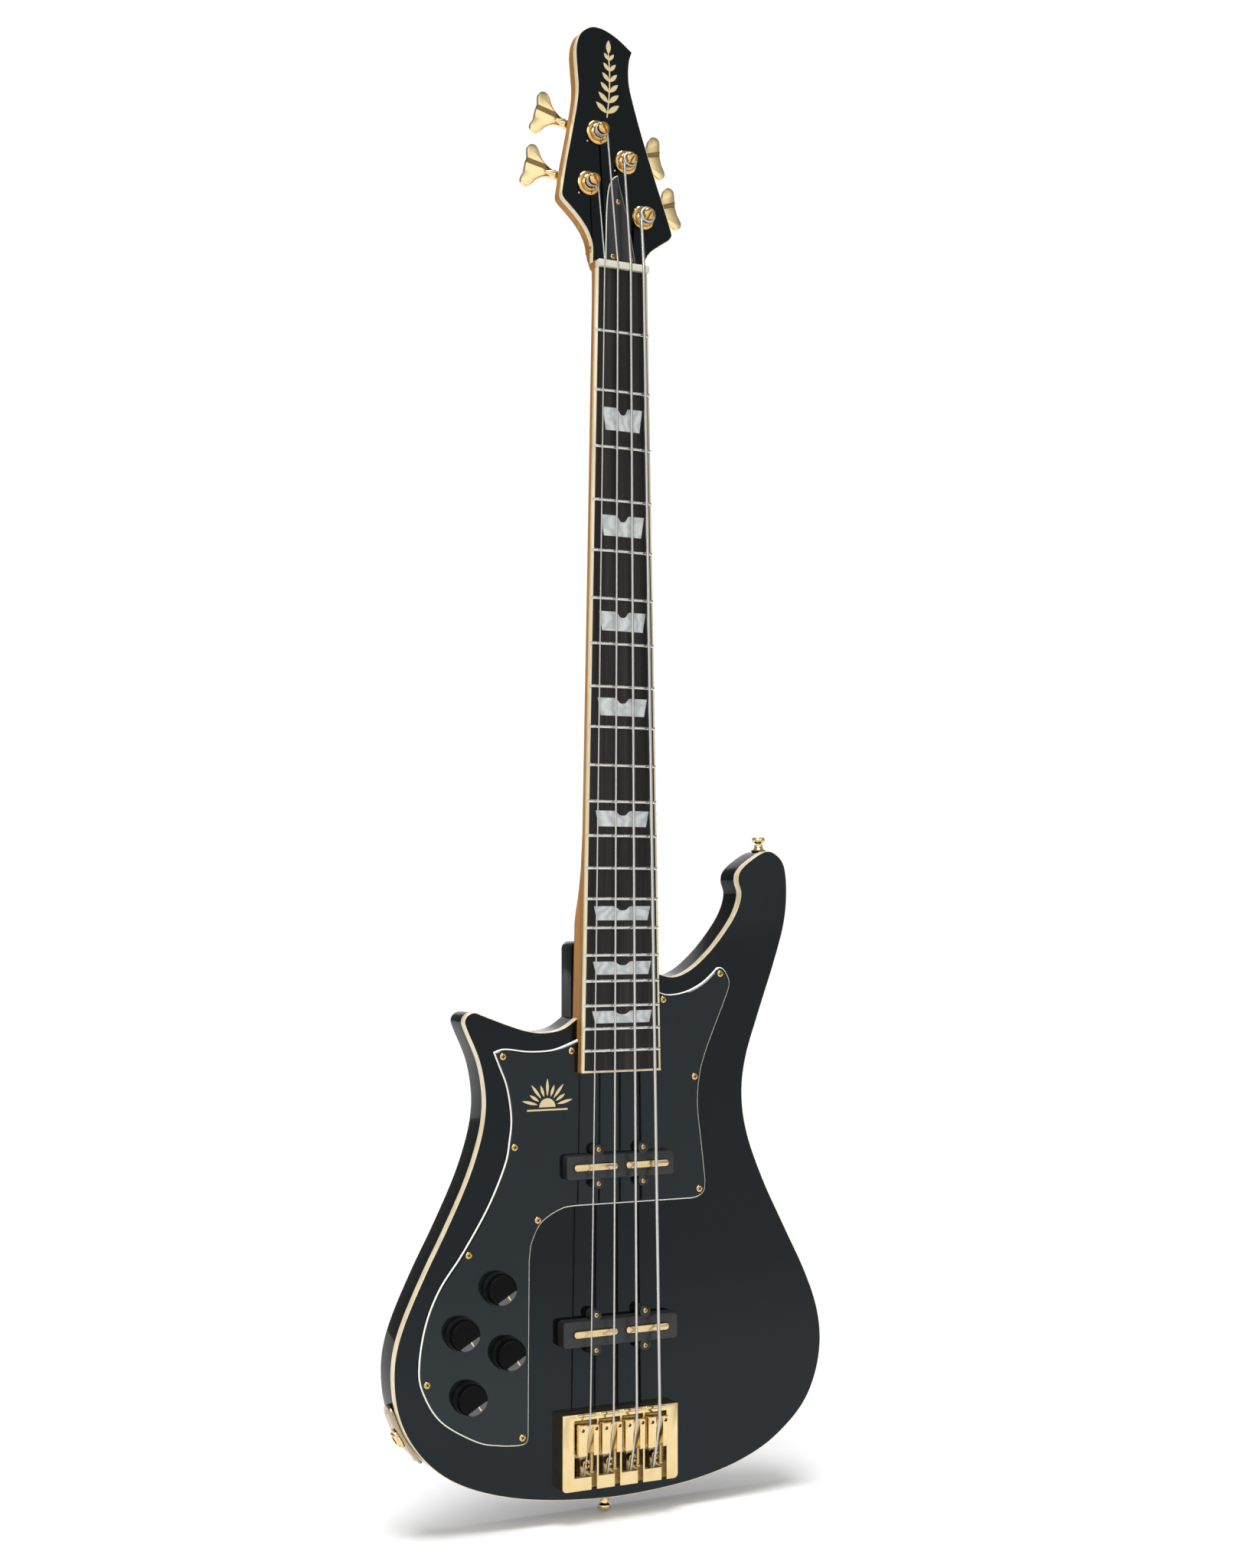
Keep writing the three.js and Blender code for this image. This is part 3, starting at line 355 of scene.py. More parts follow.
def carved(shape, *tools, operation="DIFFERENCE"):
    """The shape cut by, or joined with, each tool in turn."""
    base = temporary(shape)
    cutters = [temporary(tool) for tool in tools]
    for cutter in cutters:
        modifier = base.modifiers.new("cut", "BOOLEAN")
        modifier.solver = "EXACT"
        modifier.operation = operation
        modifier.object = cutter
    mesh = bpy.data.meshes.new_from_object(base.evaluated_get(bpy.context.evaluated_depsgraph_get()))
    result = [tuple(v.co) for v in mesh.vertices], [tuple(p.vertices) for p in mesh.polygons]
    for obj in [base, *cutters]:
        old = obj.data
        bpy.data.objects.remove(obj)
        bpy.data.meshes.remove(old)
    bpy.data.meshes.remove(mesh)
    return result


def piece(name, shape, material, body=ROOT, replaces=(), sharp=35.0, pick=None):
    """A shown piece. Material may be a list; pick gives the index for a face from its centre and normal."""
    bm = to_bmesh(shape)
    bmesh.ops.scale(bm, vec=(MM, MM, MM), verts=bm.verts)
    mesh = bpy.data.meshes.new(name)
    bm.to_mesh(mesh)
    bm.free()
    for one in material if isinstance(material, list) else [material]:
        mesh.materials.append(one)
    if pick:
        for polygon in mesh.polygons:
            polygon.material_index = pick(Vector(polygon.center) / MM, polygon.normal)
    mesh.polygons.foreach_set("use_smooth", [True] * len(mesh.polygons))
    mesh.set_sharp_from_angle(angle=math.radians(sharp))
    obj = new_object(name, mesh)
    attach(obj, body)
    if replaces:
        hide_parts(*replaces)


# ---- materials
def material(name, color, roughness, metallic=0.0, coat=0.0, specular=0.5, tint=(1, 1, 1)):
    mat = bpy.data.materials.new(name)
    mat.use_nodes = True
    shader = mat.node_tree.nodes["Principled BSDF"]
    values = {"Base Color": (*color, 1), "Roughness": roughness, "Metallic": metallic, "Coat Weight": coat,
              "Coat Roughness": 0.03, "Specular IOR Level": specular, "Specular Tint": (*tint, 1)}
    for socket, value in values.items():
        shader.inputs[socket].default_value = value
    return mat, mat.node_tree, shader


def feed(shader, socket, source):
    shader.id_data.links.new(source, shader.inputs[socket])


def add(tree, kind, **settings):
    node = tree.nodes.new(kind)
    for key, value in settings.items():
        setattr(node, key, value)
    return node


def maths(tree, operation, a, b=0.0):
    """A maths node; a and b are numbers or other nodes' outputs."""
    node = add(tree, "ShaderNodeMath", operation=operation)
    for value, socket in zip((a, b), node.inputs):
        if isinstance(value, float):
            socket.default_value = value
        else:
            tree.links.new(value, socket)
    return node.outputs[0]


def object_coordinates(tree, scale):
    coordinates = add(tree, "ShaderNodeTexCoord")
    mapping = add(tree, "ShaderNodeMapping")
    mapping.inputs["Scale"].default_value = scale
    tree.links.new(coordinates.outputs["Object"], mapping.inputs["Vector"])
    return mapping.outputs["Vector"]


def noise(tree, scale=(1, 1, 1), detail=4.0, size=1.0, rough=0.5):
    node = add(tree, "ShaderNodeTexNoise")
    node.inputs["Scale"].default_value = size
    node.inputs["Detail"].default_value = detail
    node.inputs["Roughness"].default_value = rough
    tree.links.new(object_coordinates(tree, scale), node.inputs["Vector"])
    return node.outputs["Fac"]


def ramp(tree, source, stops):
    node = add(tree, "ShaderNodeValToRGB")
    elements = node.color_ramp.elements
    while len(elements) < len(stops):
        elements.new(0.5)
    for element, (position, color) in zip(elements, stops):
        element.position = position
        element.color = (*color, 1)
    tree.links.new(source, node.inputs["Fac"])
    return node.outputs["Color"]


def spread(tree, source, low, high, start=0.3, end=0.7):
    node = add(tree, "ShaderNodeMapRange")
    for key, value in (("From Min", start), ("From Max", end), ("To Min", low), ("To Max", high)):
        node.inputs[key].default_value = value
    tree.links.new(source, node.inputs["Value"])
    return node.outputs["Result"]


def bump(tree, shader, source, distance, strength):
    node = add(tree, "ShaderNodeBump")
    node.inputs["Distance"].default_value = distance
    node.inputs["Strength"].default_value = strength
    tree.links.new(source, node.inputs["Height"])
    feed(shader, "Normal", node.outputs["Normal"])


def lacquer(name, color, roughness=(0.05, 0.11), specular=0.3):
    """Black polyester lacquer: deep gloss with faint wiping marks and a very slight orange peel."""
    # The cool specular tint paints a blue cast into the lacquer's reflections.
    mat, tree, shader = material(name, color, roughness[0], specular=specular, tint=(0.80, 0.94, 1.0))
    feed(shader, "Roughness", spread(tree, noise(tree, (30, 30, 9), size=2.0), *roughness))
    bump(tree, shader, noise(tree, size=180.0, detail=1.0), 0.00002, 0.25)
    return mat


def plastic(name, color, roughness, specular=0.5):
    mat, tree, shader = material(name, color, roughness, specular=specular)
    feed(shader, "Roughness", spread(tree, noise(tree, size=60.0), roughness * 0.8, roughness * 1.25))
    bump(tree, shader, noise(tree, size=1800.0, detail=2.0), 0.00003, 0.5)
    return mat


def cream_plastic():
    """Aged celluloid: warm cream with faint streaks along its length."""
    mat, tree, shader = material("cream_binding", (0.66, 0.56, 0.36), 0.25, coat=0.4)
    streaks = noise(tree, (220, 220, 18), detail=5.0)
    feed(shader, "Base Color", ramp(tree, streaks, [(0.3, (0.58, 0.47, 0.29)), (0.7, (0.74, 0.65, 0.45))]))
    bump(tree, shader, streaks, 0.00002, 0.4)
    return mat


def maple():
    """Roasted maple under satin lacquer: long grain with small dark flecks."""
    mat, tree, shader = material("amber_maple", (0.32, 0.16, 0.055), 0.45, specular=0.2)
    grain = noise(tree, (260, 260, 6), detail=8.0, rough=0.6)
    mix = maths(tree, "MULTIPLY", grain, noise(tree, (20, 20, 3), detail=3.0))
    stops = [(0.12, (0.22, 0.09, 0.017)), (0.25, (0.33, 0.15, 0.031)), (0.42, (0.41, 0.20, 0.048))]
    feed(shader, "Base Color", ramp(tree, mix, stops))
    bump(tree, shader, grain, 0.00004, 0.4)
    return mat


def ebony():
    """Dark fretboard wood: brown-black with fine open pores along the grain."""
    mat, tree, shader = material("dark_fretboard_wood", (0.02, 0.016, 0.014), 0.5, specular=0.16)
    grain = noise(tree, (420, 420, 7), detail=8.0, rough=0.7)
    mix = maths(tree, "MULTIPLY", grain, noise(tree, (90, 90, 2.5), detail=4.0))
    stops = [(0.1, (0.005, 0.005, 0.005)), (0.25, (0.018, 0.016, 0.015)), (0.45, (0.045, 0.038, 0.033))]
    feed(shader, "Base Color", ramp(tree, mix, stops))
    feed(shader, "Roughness", spread(tree, grain, 0.38, 0.62))
    bump(tree, shader, grain, 0.0001, 0.6)
    return mat


def pearl():
    """Mother-of-pearl plastic: pale clouds that drift between cool and warm."""
    mat, tree, shader = material("pearl", (0.72, 0.74, 0.74), 0.2, coat=0.6)
    warp = noise(tree, (60, 60, 120), detail=3.0)
    wave = add(tree, "ShaderNodeTexWave")
    for socket, value in (("Scale", 1.0), ("Distortion", 14.0), ("Detail", 3.0)):
        wave.inputs[socket].default_value = value
    tree.links.new(object_coordinates(tree, (30, 30, 55)), wave.inputs["Vector"])
    clouds = maths(tree, "MULTIPLY", maths(tree, "ADD", warp, wave.outputs["Fac"]), 0.62)
    stops = [(0.3, (0.36, 0.39, 0.40)), (0.6, (0.45, 0.48, 0.48)), (0.95, (0.54, 0.56, 0.55))]
    feed(shader, "Base Color", ramp(tree, clouds, stops))
    return mat


def gold_plate(name="gold", roughness=(0.1, 0.18), level=1.0, warmth=(1.0, 1.0, 1.0)):
    """Gold plating with faint wear in its polish."""
    mat, tree, shader = material(name, (0.78, 0.61, 0.33), roughness[0], metallic=1.0)
    haze = noise(tree, size=110.0, detail=5.0)
    low, high = [tuple(level * c * w for c, w in zip(color, warmth))
                 for color in ((0.74, 0.56, 0.28), (0.80, 0.64, 0.36))]
    feed(shader, "Base Color", ramp(tree, haze, [(0.3, low), (0.7, high)]))
    feed(shader, "Roughness", spread(tree, haze, *roughness))
    bump(tree, shader, noise(tree, size=900.0, detail=2.0), 0.00001, 0.3)
    return mat


def metal(name, color, roughness):
    mat, tree, shader = material(name, color, roughness, metallic=1.0)
    haze = noise(tree, size=400.0, detail=4.0)
    feed(shader, "Roughness", spread(tree, haze, roughness * 0.7, roughness * 1.4))
    return mat


def wound_string():
    """Round-wound nickel: fine turns across the string."""
    mat, tree, shader = material("wound_string", (0.56, 0.55, 0.51), 0.32, metallic=1.0)
    turns = add(tree, "ShaderNodeTexWave", bands_direction="Z")
    turns.inputs["Scale"].default_value = 1.0
    tree.links.new(object_coordinates(tree, (0, 0, 620)), turns.inputs["Vector"])
    # The dark bands paint shade into the grooves between the turns.
    stops = [(0.1, (0.40, 0.39, 0.36)), (0.7, (0.66, 0.65, 0.61))]
    feed(shader, "Base Color", ramp(tree, turns.outputs["Fac"], stops))
    bump(tree, shader, turns.outputs["Fac"], 0.0001, 0.6)
    return mat


LACQUER = lacquer("black_lacquer", (0.0016, 0.0024, 0.0030), specular=0.30)
# The headstock and side copies of the black lacquer reflect less than the front: painted shade on the
# headstock face and the body's sides.
HEAD_LACQUER = lacquer("black_headstock_lacquer", (0.0014, 0.0018, 0.0018), specular=0.12)
SIDE_LACQUER = lacquer("black_lacquer_sides", (0.0016, 0.0020, 0.0022), specular=0.07)
GUARD_BLACK = lacquer("guard_black_ply", (0.0026, 0.0036, 0.0044), (0.06, 0.13), 0.44)
GUARD_WHITE = plastic("guard_white_ply", (0.80, 0.78, 0.70), 0.3)
CREAM = cream_plastic()
MAPLE = maple()
EBONY = ebony()
PEARL = pearl()
PRINT = plastic("tan_print", (0.62, 0.50, 0.28), 0.6)
BONE = plastic("bone", (0.60, 0.58, 0.48), 0.3)
SATIN = plastic("satin_black_plastic", (0.009, 0.010, 0.011), 0.33)
SKIRT = plastic("black_knob_skirt", (0.005, 0.005, 0.005), 0.3, specular=0.5)
KNOB_TOP = plastic("black_knob_top", (0.003, 0.003, 0.003), 0.25, specular=0.06)
FLAT = plastic("grey_knob_flat", (0.085, 0.085, 0.085), 0.3)
RUBBER = plastic("black_felt", (0.012, 0.012, 0.012), 0.8)
# Dark material: the real side dots, and painted shade in the screw recesses and on the pickup covers' walls.
DARK = plastic("dark_dots_and_painted_shade", (0.006, 0.005, 0.004), 0.6)
GOLD = gold_plate()
# Darker, rougher copy of the gold: painted shade inside the bridge pockets and on the intonation screws under
# the bridge.
GOLD_PAINTED_SHADE = gold_plate("gold_painted_shade", (0.22, 0.36), 0.62)
ORANGE_GOLD = gold_plate("gold_knurled", (0.25, 0.38), 0.9)
BROWN = metal("dark_threads", (0.10, 0.07, 0.04), 0.35)
NICKEL = metal("nickel_fret", (0.68, 0.67, 0.63), 0.22)
KEY_GOLD = gold_plate("gold_key", (0.12, 0.2), 1.12)
GOLD_SHADE = gold_plate("gold_shade", (0.1, 0.18), 0.34, (1.0, 0.86, 0.66))
# The jack plate's gold is dimmed and cooled: painted shade and a painted grey-blue reflection.
JACK_GOLD = gold_plate("gold_jack_plate", (0.08, 0.16), 0.5, (1.0, 1.0, 1.15))
GOLD_DEEP = gold_plate("gold_deep", (0.08, 0.16), 0.88, (1.0, 0.84, 0.62))
STEEL = metal("steel", (0.42, 0.41, 0.39), 0.35)
WOUND = wound_string()


# ---- neck measures
def board_half(z):
    return 19.9 + 31.4 / 2 / SCALE_LENGTH * (NUT_Z - z)


def neck_half(z):
    return board_half(z) + BOARD_BINDING


def board_top(x):
    return BOARD_CROWN + BOARD_RADIUS - math.sqrt(BOARD_RADIUS ** 2 - x ** 2)


def neck_outline(extra, low, high):
    return [(-neck_half(low) - extra, low), (neck_half(low) + extra, low),
            (neck_half(high) + extra, high), (-neck_half(high) - extra, high)]


def fret_z(number):
    return NUT_Z - SCALE_LENGTH * (1 - 2 ** (-number / 12))


# ---- body
WALL = inset(smooth(BODY_CURVE), -BINDING_WIDTH)
NECK_CUT = flat_slab(neck_outline(0.05, NECK_END - 0.05, HEEL_TOP + 20), FRONT - 12, NECK_BACK + 0.05)


def quarter(radius, steps):
    """Points of a quarter circle as (depth left, inset), from full depth and no inset."""
    return [(radius * (1 - math.sin(a)), radius * (1 - math.cos(a)))
            for a in (i / steps * math.pi / 2 for i in range(steps + 1))]


def make_body():
    step = FRONT + BINDING_DEPTH
    rounded = [(BACK - rise, d) for rise, d in quarter(BACK_ROUND, 6)]
    blank = slab(WALL, [(FRONT, BINDING_WIDTH), (step, BINDING_WIDTH), (step, 0), *rounded])
    heel = slab(rectangle(-31.8, NUT_Z - 576, 31.8, HEEL_TOP, 6, 8),
                [(NECK_BACK, 0), (HEEL_BACK - 3, 0), (HEEL_BACK - 1, 0.6), (HEEL_BACK, 2.6)])
    whole = carved(blank, heel, operation="UNION")
    # Faces not looking straight front or back take the dimmer side lacquer as painted shade.
    piece("body_shell", carved(whole, NECK_CUT), [LACQUER, SIDE_LACQUER], replaces=["body"],
          sharp=30, pick=lambda centre, normal: 0 if abs(normal.y) > 0.9 else 1)


def make_body_binding():
    step = FRONT + BINDING_DEPTH
    edge = [(FRONT + rise, d) for rise, d in quarter(BINDING_WIDTH, 4)[:-1]]
    strip = band(WALL, [(FRONT + 0.02, BINDING_WIDTH), (step, BINDING_WIDTH), (step, 0), *edge])
    piece("body_edge_binding", carved(strip, NECK_CUT), CREAM, replaces=["body_binding"],
          sharp=40)


def make_pickguard():
    outline = joined(GUARD_CURVES)
    plate = slab(outline, [(FRONT - 0.02, 0), (FRONT - 0.9, 0), (FRONT - 1.8, 0.9), (GUARD_FRONT, 1.7)])
    plate = carved(plate, NECK_CUT)

    def ply(centre, normal):
        return 1 if FRONT - 1.75 < centre.y < FRONT - 0.95 and abs(normal.y) > 0.2 else 0

    piece("pickguard_plate", plate, [GUARD_BLACK, GUARD_WHITE], replaces=["pickguard"],
          sharp=20, pick=ply)


# ---- neck and headstock
HEAD = inset(joined(HEAD_CURVES), -BINDING_WIDTH)


def neck_section(z, half, front, back, power, steps=40):
    out = []
    for i in range(steps + 1):
        angle = math.pi * i / steps
        side = math.copysign(abs(math.cos(angle)) ** (2 / power), math.cos(angle))
        out.append((half * side, front + (back - front) * math.sin(angle) ** (2 / power), z))
    return out


def make_neck():
    top = BOARD_UNDER + 0.02
    stations = [(NECK_END, NECK_BACK, 14.0), (NUT_Z - 497, NECK_BACK, 14.0),
                (NUT_Z - 488, NECK_BACK - 0.1, 8.0), (NUT_Z - 476, NECK_BACK - 0.3, 4.5),
                (NUT_Z - 458, NECK_BACK - 0.6, 3.0), (NUT_Z - 430, NECK_BACK - 0.8, 2.5),
                (NUT_Z - 240, NECK_BACK - 1.3, 2.4), (NUT_Z - 30, NECK_BACK - 2.0, 2.4),
                (NUT_Z - 10, NECK_BACK - 1.9, 2.5), (NUT_Z + 6, NECK_BACK - 1.5, 2.8)]
    shaft = loft([neck_section(z, neck_half(min(z, NUT_Z)), top, back, power) for z, back, power in stations])
    throat = loft([neck_section(z, half, VENEER_BACK, back, power) for z, half, back, power in
                   [(NUT_Z + 2, 21.5, NECK_BACK - 1.6, 2.8), (NUT_Z + 7, 21.6, NECK_BACK - 1.4, 4.5),
                    (NUT_Z + 11, 21.65, HEAD_BACK - 0.5, 8.0), (NUT_Z + 16, 21.7, HEAD_BACK - 0.2, 14.0),
                    (NUT_Z + 21, 22.2, HEAD_BACK - 0.1, 18.0), (NUT_Z + 26, 23.8, HEAD_BACK - 0.02, 20.0)]])
    inner, step = BINDING_WIDTH + 0.02, HEAD_FRONT + HEAD_BINDING_DEPTH
    head = slab(HEAD, [(VENEER_BACK, inner), (step, inner), (step, 0), (HEAD_BACK - 2, 0),
                       (HEAD_BACK - 0.6, 0.6), (HEAD_BACK, 2)])
    head = carved(head, box(-60, -60, 900, 60, 20, NUT_Z + 15))
    tenon = box(-31, FRONT + 0.5, NECK_END - 18, 31, NECK_BACK, NECK_END + 5)
    wood = carved(shaft, throat, head, tenon, operation="UNION")
    piece("neck_wood", wood, MAPLE, replaces=["neck", "truss_rod"], sharp=32)


def make_headstock_face():
    cut = box(-60, -60, 900, 60, 20, NUT_Z + 5.5)
    plate = slab(HEAD, [(HEAD_FRONT, BINDING_WIDTH), (VENEER_BACK, BINDING_WIDTH)])
    piece("headstock_veneer", carved(plate, cut), HEAD_LACQUER, replaces=["headstock_face"])
    step = HEAD_FRONT + HEAD_BINDING_DEPTH
    strip = band(HEAD, [(HEAD_FRONT + 0.02, BINDING_WIDTH), (step, BINDING_WIDTH), (step, 0),
                        (HEAD_FRONT + 0.5, 0), (HEAD_FRONT + 0.2, 0.1), (HEAD_FRONT + 0.05, 0.3)])
    piece("headstock_edge_binding", carved(strip, cut), CREAM, replaces=["headstock_binding"],
          sharp=40)


def make_fretboard():
    steps = 24

    def ring(z):
        half = board_half(z)
        top = [-half + 2 * half * i / steps for i in range(steps + 1)]
        return [(x, board_top(x), z) for x in top] + [(half, BOARD_UNDER, z), (-half, BOARD_UNDER, z)]

    stations = [BOARD_END + (NUT_Z - BOARD_END) * i / steps for i in range(steps + 1)]
    piece("fretboard_wood", loft([ring(z) for z in stations]), EBONY, replaces=["fretboard"])
    front = board_top(board_half(NUT_Z - 300)) + 0.05
    strips = []
    for side in (-1, 1):
        strips.append(loft([[(side * (board_half(z) + a), y, z) for a, y in
                             [(0, board_top(board_half(z))), (0, BOARD_UNDER), (BOARD_BINDING, BOARD_UNDER),
                              (BOARD_BINDING, front + 0.6), (BOARD_BINDING - 0.5, front + 0.1)]]
                            for z in stations]))
    half = neck_half(NECK_END)
    end = box(-half, front, NECK_END, half, BOARD_UNDER, BOARD_END, 0.3)
    piece("fretboard_edge_binding", merged(*strips, end), CREAM, replaces=["fretboard_binding"],
          sharp=40)


def make_frets():
    # The crown's section as (z, rise, share of the drop at the fret's ends)
    crown = [(-1.25, -0.1, 0), (-1.1, 0.45, 0.5), (-0.55, 0.9, 1), (0, 1.05, 1), (0.55, 0.9, 1),
             (1.1, 0.45, 0.5), (1.25, -0.1, 0)]
    steps = 16
    shapes = []
    for number in range(1, FRET_COUNT + 1):
        z = fret_z(number)
        half = neck_half(z) - 0.25
        rings = []
        for i in range(steps + 1):
            x = -half + 2 * half * i / steps
            drop = 0.55 if i in (0, steps) else 0.0
            rings.append([(x, board_top(x) - rise + drop * share, z + a) for a, rise, share in crown])
        shapes.append(loft(rings))
    piece("frets", merged(*shapes), NICKEL, sharp=50)


def inlay(number):
    """A crown-topped block: wide above, narrower below, with a soft dip in the middle of its upper edge."""
    gap = fret_z(number - 1) - fret_z(number)
    middle = (fret_z(number - 1) + fret_z(number)) / 2
    height = 3.6 + 0.32 * gap
    half = board_half(middle) - 5.3
    steps = 32
    rings = []
    for i in range(steps + 1):
        u = -1 + 2 * i / steps
        dip = 0.3 * height * math.exp(-(u / 0.2) ** 4)
        high = middle + height / 2 - dip
        low = middle - height / 2
        wide, narrow = half * u, (half - 2.5) * u
        rings.append([(wide, board_top(wide) - 0.06, high), (narrow, board_top(narrow) - 0.06, low),
                      (narrow, board_top(narrow) + 0.5, low), (wide, board_top(wide) + 0.5, high)])
    return loft(rings)


def make_inlays():
    piece("fret_inlays", merged(*[inlay(number) for number in INLAY_FRETS]), PEARL)
    dots = []
    for number in INLAY_FRETS:
        z = (fret_z(number - 1) + fret_z(number)) / 2
        for offset in ((-4, 4) if number == 12 else (0,)):
            place = (neck_half(z) - 0.02, BOARD_UNDER - 1.9, z + offset)
            dots.append(turned([(1.0, 0), (1.0, 0.06), (0.85, 0.12)], place, (1, 0, 0), 20))
    piece("side_dots", merged(*dots), DARK)


def make_nut():
    blank = box(-21.5, -34.3, NUT_Z + 0.02, 21.5, BOARD_UNDER, NUT_Z + 5.5, 0.7, 3)
    y, low, high = STRING_Y["nut"], NUT_Z - 4, NUT_Z + 12
    slots = []
    for i, (_, radius, _) in enumerate(STRINGS):
        x = (i - 1.5) * NUT_PITCH
        slots.append(tube([(x, y, low), (x, y, high)], radius + 0.12, 16))
        slots.append(box(x - radius - 0.1, -38, low, x + radius + 0.1, y, high))
    piece("bone_nut", carved(blank, *slots), BONE, replaces=["nut"], sharp=40)


# ---- screws
def cross_screw(radius, height, recess=0.55):
    """A low domed cross-head screw at the origin, its head towards +Z."""
    profile = [(radius * 0.96, 0), (radius, height * 0.25)]
    profile += [(radius * math.cos(a), height * (0.25 + 0.75 * math.sin(a))) for a in (0.35, 0.7, 1.05, 1.35)]
    dome = turned(profile + [(0.001, height)], (0, 0, 0), UPWARD, 28)
    return carved(dome, *cross_arms(radius, recess, height * 0.3, height * 2))


def cross_arms(radius, recess, low, high):
    arm, wide = radius * recess, radius * 0.15
    return box(-arm, -wide, low, arm, wide, high), box(-wide, -arm, low, wide, arm, high)


def placed(shape, origin, axis, spin=0.0):
    turn = Vector((0, 0, 1)).rotation_difference(Vector(axis).normalized()).to_matrix().to_4x4()
    return moved(shape, Matrix.Translation(origin) @ turn @ Matrix.Rotation(spin, 4, "Z"))


# Screws as (radius, height, reach of the cross as a part of the radius)
SMALL_SCREW = (2.5, 0.8, 0.6)
PAN_SCREW = (2.0, 0.9, 0.6)
PICKUP_SCREW = (1.75, 0.8, 0.65)
BIG_SCREW = (4.3, 1.35, 0.55)
FOOT_SCREW = (3.5, 1.1, 0.6)
BUTTON_SCREW = (2.3, 1.0, 0.55)


def screw_set(name, screw, places, axes=FRONTWARD):
    """Cross-head screws with a dark floor in each cross recess as painted shade; axes is one direction for
    all, or one for each.
    """
    radius, height, recess = screw
    head = cross_screw(radius, height, recess)
    floor = merged(*cross_arms(radius, recess, height * 0.25, height * 0.42))
    each = axes if isinstance(axes, list) else [axes] * len(places)
    turns = list(zip(places, each, (0.7 * i for i in range(len(places)))))
    for label, shape, look, slot, sharp in (("", head, GOLD_DEEP, "gold", 40),
                                            ("_recess_painted_shade", floor, DARK, "black_satin", 35)):
        piece(name + label, merged(*[placed(shape, *turn) for turn in turns]), look, sharp=sharp)


def make_guard_screws():
    screw_set("pickguard_screws", SMALL_SCREW, [(x, GUARD_FRONT + 0.05, z) for x, z in GUARD_SCREWS])


# ---- headstock hardware
def make_truss_cover():
    plate = slab(joined(COVER_CURVES), [(HEAD_FRONT - 0.02, 0), (HEAD_FRONT - 0.9, 0),
                                        (HEAD_FRONT - 1.5, 0.6), (COVER_FRONT, 1.1)])

    def ply(centre, normal):
        return 1 if HEAD_FRONT - 1.45 < centre.y < HEAD_FRONT - 0.95 and abs(normal.y) > 0.2 else 0

    piece("truss_rod_cover_plate", plate, [SATIN, GUARD_WHITE], replaces=["truss_rod_cover"],
          sharp=20, pick=ply)
    screw_set("truss_rod_cover_screws", PAN_SCREW,
              [(x, COVER_FRONT + 0.1, z) for x, z in ((-0.9, 990.7), (-5.4, 947.4), (9.9, 947.4))])


def tuner_frame(name):
    """Matrix from a tuner's own axes: out along the key shaft, back, and up square to the shaft."""
    x, z, side, tilt = TUNERS[name]
    angle = math.radians(tilt)
    out = Vector((side * math.cos(angle), 0, math.sin(angle)))
    up = Vector((-side * math.sin(angle), 0, math.cos(angle)))
    turn = Matrix((out, (0, 1, 0), up)).transposed().to_4x4()
    return Matrix.Translation((x, 0, z)) @ turn


def key_shape():
    """A clover-leaf key with a soft step between its two lobes, on its shaft."""
    half = smooth(KEY_HALF, 6)
    outline = half + [(a, -c) for a, c in reversed(half)]
    blade = slab(outline, [(WORM_Y + y, d) for y, d in
                           ((-2.1, 0.9), (-1.9, 0.3), (-1.4, 0), (1.4, 0), (1.9, 0.3), (2.1, 0.9))])
    bm = to_bmesh(blade)
    for height in (1.2, 2.0, 3.8, 4.6):
        whole = [*bm.verts, *bm.edges, *bm.faces]
        bmesh.ops.bisect_plane(bm, geom=whole, plane_co=(0, 0, height), plane_no=UPWARD)
    for vert in bm.verts:
        rise = min(max((vert.co.z - 1.2) / 3.4, 0.0), 1.0)
        vert.co.y += 0.9 - 1.8 * rise * rise * (3 - 2 * rise)
    blade = from_bmesh(bm)
    shaft = turned([(2.2, -6), (2.2, 16.5), (3.5, 16.6), (3.7, 17), (3.7, 18.6), (3.2, 19), (3.2, 19.8),
                    (3.9, 20.2), (3.6, 21.6), (2.6, 24.5), (1.6, 27.5), (0.01, 29)],
                   (0, WORM_Y, 0), (1, 0, 0), 32)
    return moved(merged(blade, shaft), Matrix.Translation((0, 0, WORM_OFFSET)))


